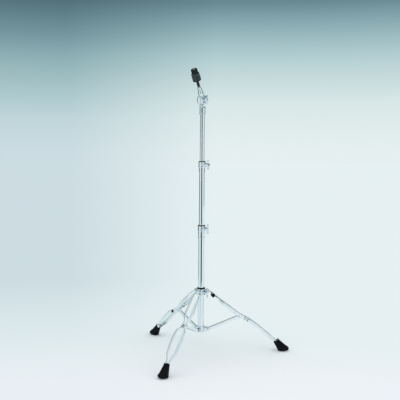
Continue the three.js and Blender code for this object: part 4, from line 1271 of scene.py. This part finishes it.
def paper_floor():
    made, tree = new_material("pale_paper_floor")
    point = add_node(tree, "ShaderNodeTexCoord").outputs["Object"]
    fibre = add_node(tree, "ShaderNodeTexNoise", Vector=point, Scale=per(3), Detail=3, Roughness=0.55)
    way = add_node(tree, "ShaderNodeVectorMath", point, FRONT_SPOT, operation="SUBTRACT")
    level = add_node(tree, "ShaderNodeVectorMath", way, operation="NORMALIZE")
    away = add_node(tree, "ShaderNodeVectorMath", way, operation="LENGTH")
    # Painted light: two paler rings of paper near the spot.
    near_light = add_node(tree, "ShaderNodeMapRange", away, *NEAR_LIGHT_RING)
    nearest_light = add_node(tree, "ShaderNodeMapRange", away, *NEAREST_LIGHT_RING)
    # Painted shade: further from the spot the paper is painted darker on the left.
    far_shade = add_node(tree, "ShaderNodeMapRange", away, *FAR_SHADE_RING, FAR_SHADE_LEAST, 1.0)
    painted_shade = add_node(tree, "ShaderNodeMath", far_shade, leftness(tree, level), operation="MULTIPLY")
    plain_paper = add_node(
        tree, "ShaderNodeMix", Factor=fibre, A=linear(PAPER), B=linear(FIBRE), data_type="RGBA"
    )
    front = add_node(
        tree, "ShaderNodeMix", Factor=nearest_light, A=linear(NEAR_PAINTED_LIGHT), B=linear(NEAREST_PAINTED_LIGHT), data_type="RGBA"
    )
    with_painted_light = add_node(tree, "ShaderNodeMix", Factor=near_light, A=plain_paper, B=front, data_type="RGBA")
    paper = add_node(tree, "ShaderNodeMix", Factor=painted_shade, A=with_painted_light, B=linear(PAINTED_SHADE_PAPER), data_type="RGBA")
    shader = add_node(
        tree, "ShaderNodeBsdfPrincipled", Base_Color=paper, Roughness=0.9, Specular_IOR_Level=0.0
    )
    add_node(tree, "ShaderNodeOutputMaterial", shader)
    return made


floor_mesh = bmesh.new()
bmesh.ops.create_circle(floor_mesh, cap_ends=True, segments=64, radius=FLOOR_RADIUS)
stage_piece(floor_mesh, "floor", paper_floor())

# %% [markdown]
# The camera looks from the photograph's side. Its place was worked out from the feet, the collars and the
# tilter in the photograph: a direction round the pole, a distance from the pole's foot in metres, the angle
# at which it rises over the floor, how far it looks down, a slight roll and a small shift to the side.

# %% Camera
CAMERA_SIDE = -6.9
DISTANCE, RISE, PITCH, ROLL, SIDE_SHIFT = 2.88, 16.60, 3.95, 0.48, -0.0076
PHOTO_WIDTH, FOCAL_PIXELS, SENSOR = 400, 680, 36


def camera():
    turn = Matrix.Translation(POLE) @ turn_z(CAMERA_SIDE)
    at = Vector((SIDE_SHIFT, -DISTANCE * cos(radians(RISE)), DISTANCE * sin(radians(RISE))))
    pitch, roll = radians(PITCH), radians(ROLL)
    ahead = Vector((0, cos(pitch), -sin(pitch)))
    up = Vector((0, sin(pitch), cos(pitch)))
    right = Vector((1, 0, 0))
    side = right * cos(roll) + up * sin(roll)
    top = up * cos(roll) - right * sin(roll)
    data = bpy.data.cameras.new("camera")
    data.sensor_width = SENSOR
    data.lens = FOCAL_PIXELS / PHOTO_WIDTH * SENSOR
    data.clip_end = 200
    made = bpy.data.objects.new("camera", data)
    bpy.context.scene.collection.objects.link(made)
    axes = Matrix((side, top, -ahead)).transposed().to_4x4()
    made.matrix_world = turn @ Matrix.Translation(at) @ axes
    bpy.context.scene.camera = made
    print("camera at", [round(v, 3) for v in made.matrix_world.translation])


camera()

# %% [markdown]
# Chrome is only as good as what stands round it. Behind the camera the studio is dark, and the tubes show
# that as a thin dark line down their middle, so a dark card stands in front of the stand. It leans, so that
# the line does. Two pale slots before it, at the heights of the collars, give their bands the white that
# they have in the photograph. Darker and paler cards at the sides draw the streaks along the edges of the
# tubes and on the legs. Only shiny surfaces see the cards: for every other ray they are clear, so they don't
# show in the picture and cast no shadow on the floor.

# %% Cards for the chrome to mirror
FRONT = CAMERA_SIDE - 102
PALE = "#F4F8FA"


def card(name, angle, distance, width, low, high, shade, lean=0.0):
    """An upright card at an angle round the pole and a distance from it, in metres."""
    # Each card glows with its shade and has no lamp behind it: a painted reflection that only glossy rays see.
    made, tree = new_material("glowing_card_seen_in_reflections")
    lit = add_node(tree, "ShaderNodeEmission", linear(shade), 1.0)
    clear = add_node(tree, "ShaderNodeBsdfTransparent")
    glossy = add_node(tree, "ShaderNodeLightPath").outputs["Is Glossy Ray"]
    add_node(tree, "ShaderNodeOutputMaterial", add_node(tree, "ShaderNodeMixShader", glossy, clear, lit))
    bm = bmesh.new()
    bmesh.ops.create_grid(bm, x_segments=1, y_segments=1, size=0.5)
    bmesh.ops.scale(bm, vec=(width, high - low, 1), verts=bm.verts)
    for v in bm.verts:
        v.co.x += lean * v.co.y
    middle = Matrix.Translation((distance, 0, (low + high) / 2))
    moved(bm, Matrix.Translation(POLE) @ turn_z(angle) @ middle @ turn_z(90) @ FACE_BACK_Y)
    stage_piece(bm, name, made)


card("card_in_front", FRONT, 1.3, 0.98, 0.02, 1.18, "#070D12", lean=-0.5)
card("slot_for_the_base_collar", FRONT, 1.29, 1.5, 0.362, 0.392, PALE)
card("slot_for_the_middle_collar", FRONT, 1.29, 1.5, 0.742, 0.774, PALE)
card("card_on_the_left", 130, 1.6, 2.0, 0.3, 3.0, "#141F25")
card("low_card_on_the_left", 130, 1.6, 2.0, 0.0, 0.3, "#8FA5AB")
card("card_on_the_right", 5, 2.0, 1.0, 0.45, 3.0, "#38464E")
card("pale_card_on_the_left", 197, 2.0, 2.2, 0.62, 0.97, PALE)
card("high_pale_card_on_the_left", 197, 2.0, 2.2, 1.3, 2.7, PALE)

# %% [markdown]
# Two very soft lamps, far apart, do the rest. They are suns with a wide angle, so the whole floor gets the
# same light. The left one is the stronger, and the pair is kept low enough that a pale surface stays below
# white.

# %% Lamps
def soft_sun(name, strength, azimuth, elevation, spread=90):
    data = bpy.data.lights.new(name, "SUN")
    data.energy = strength
    data.angle = radians(spread)
    lamp = bpy.data.objects.new(name, data)
    bpy.context.scene.collection.objects.link(lamp)
    way = turn_z(azimuth) @ Vector((cos(radians(elevation)), 0, sin(radians(elevation))))
    lamp.rotation_mode = "QUATERNION"
    lamp.rotation_quaternion = way.to_track_quat("Z", "Y")
    print("lamp:", name, strength)


soft_sun("key", 0.3, -150, 55)
soft_sun("fill", 0.15, -30, 45)
bpy.context.scene.view_settings.view_transform = "Standard"
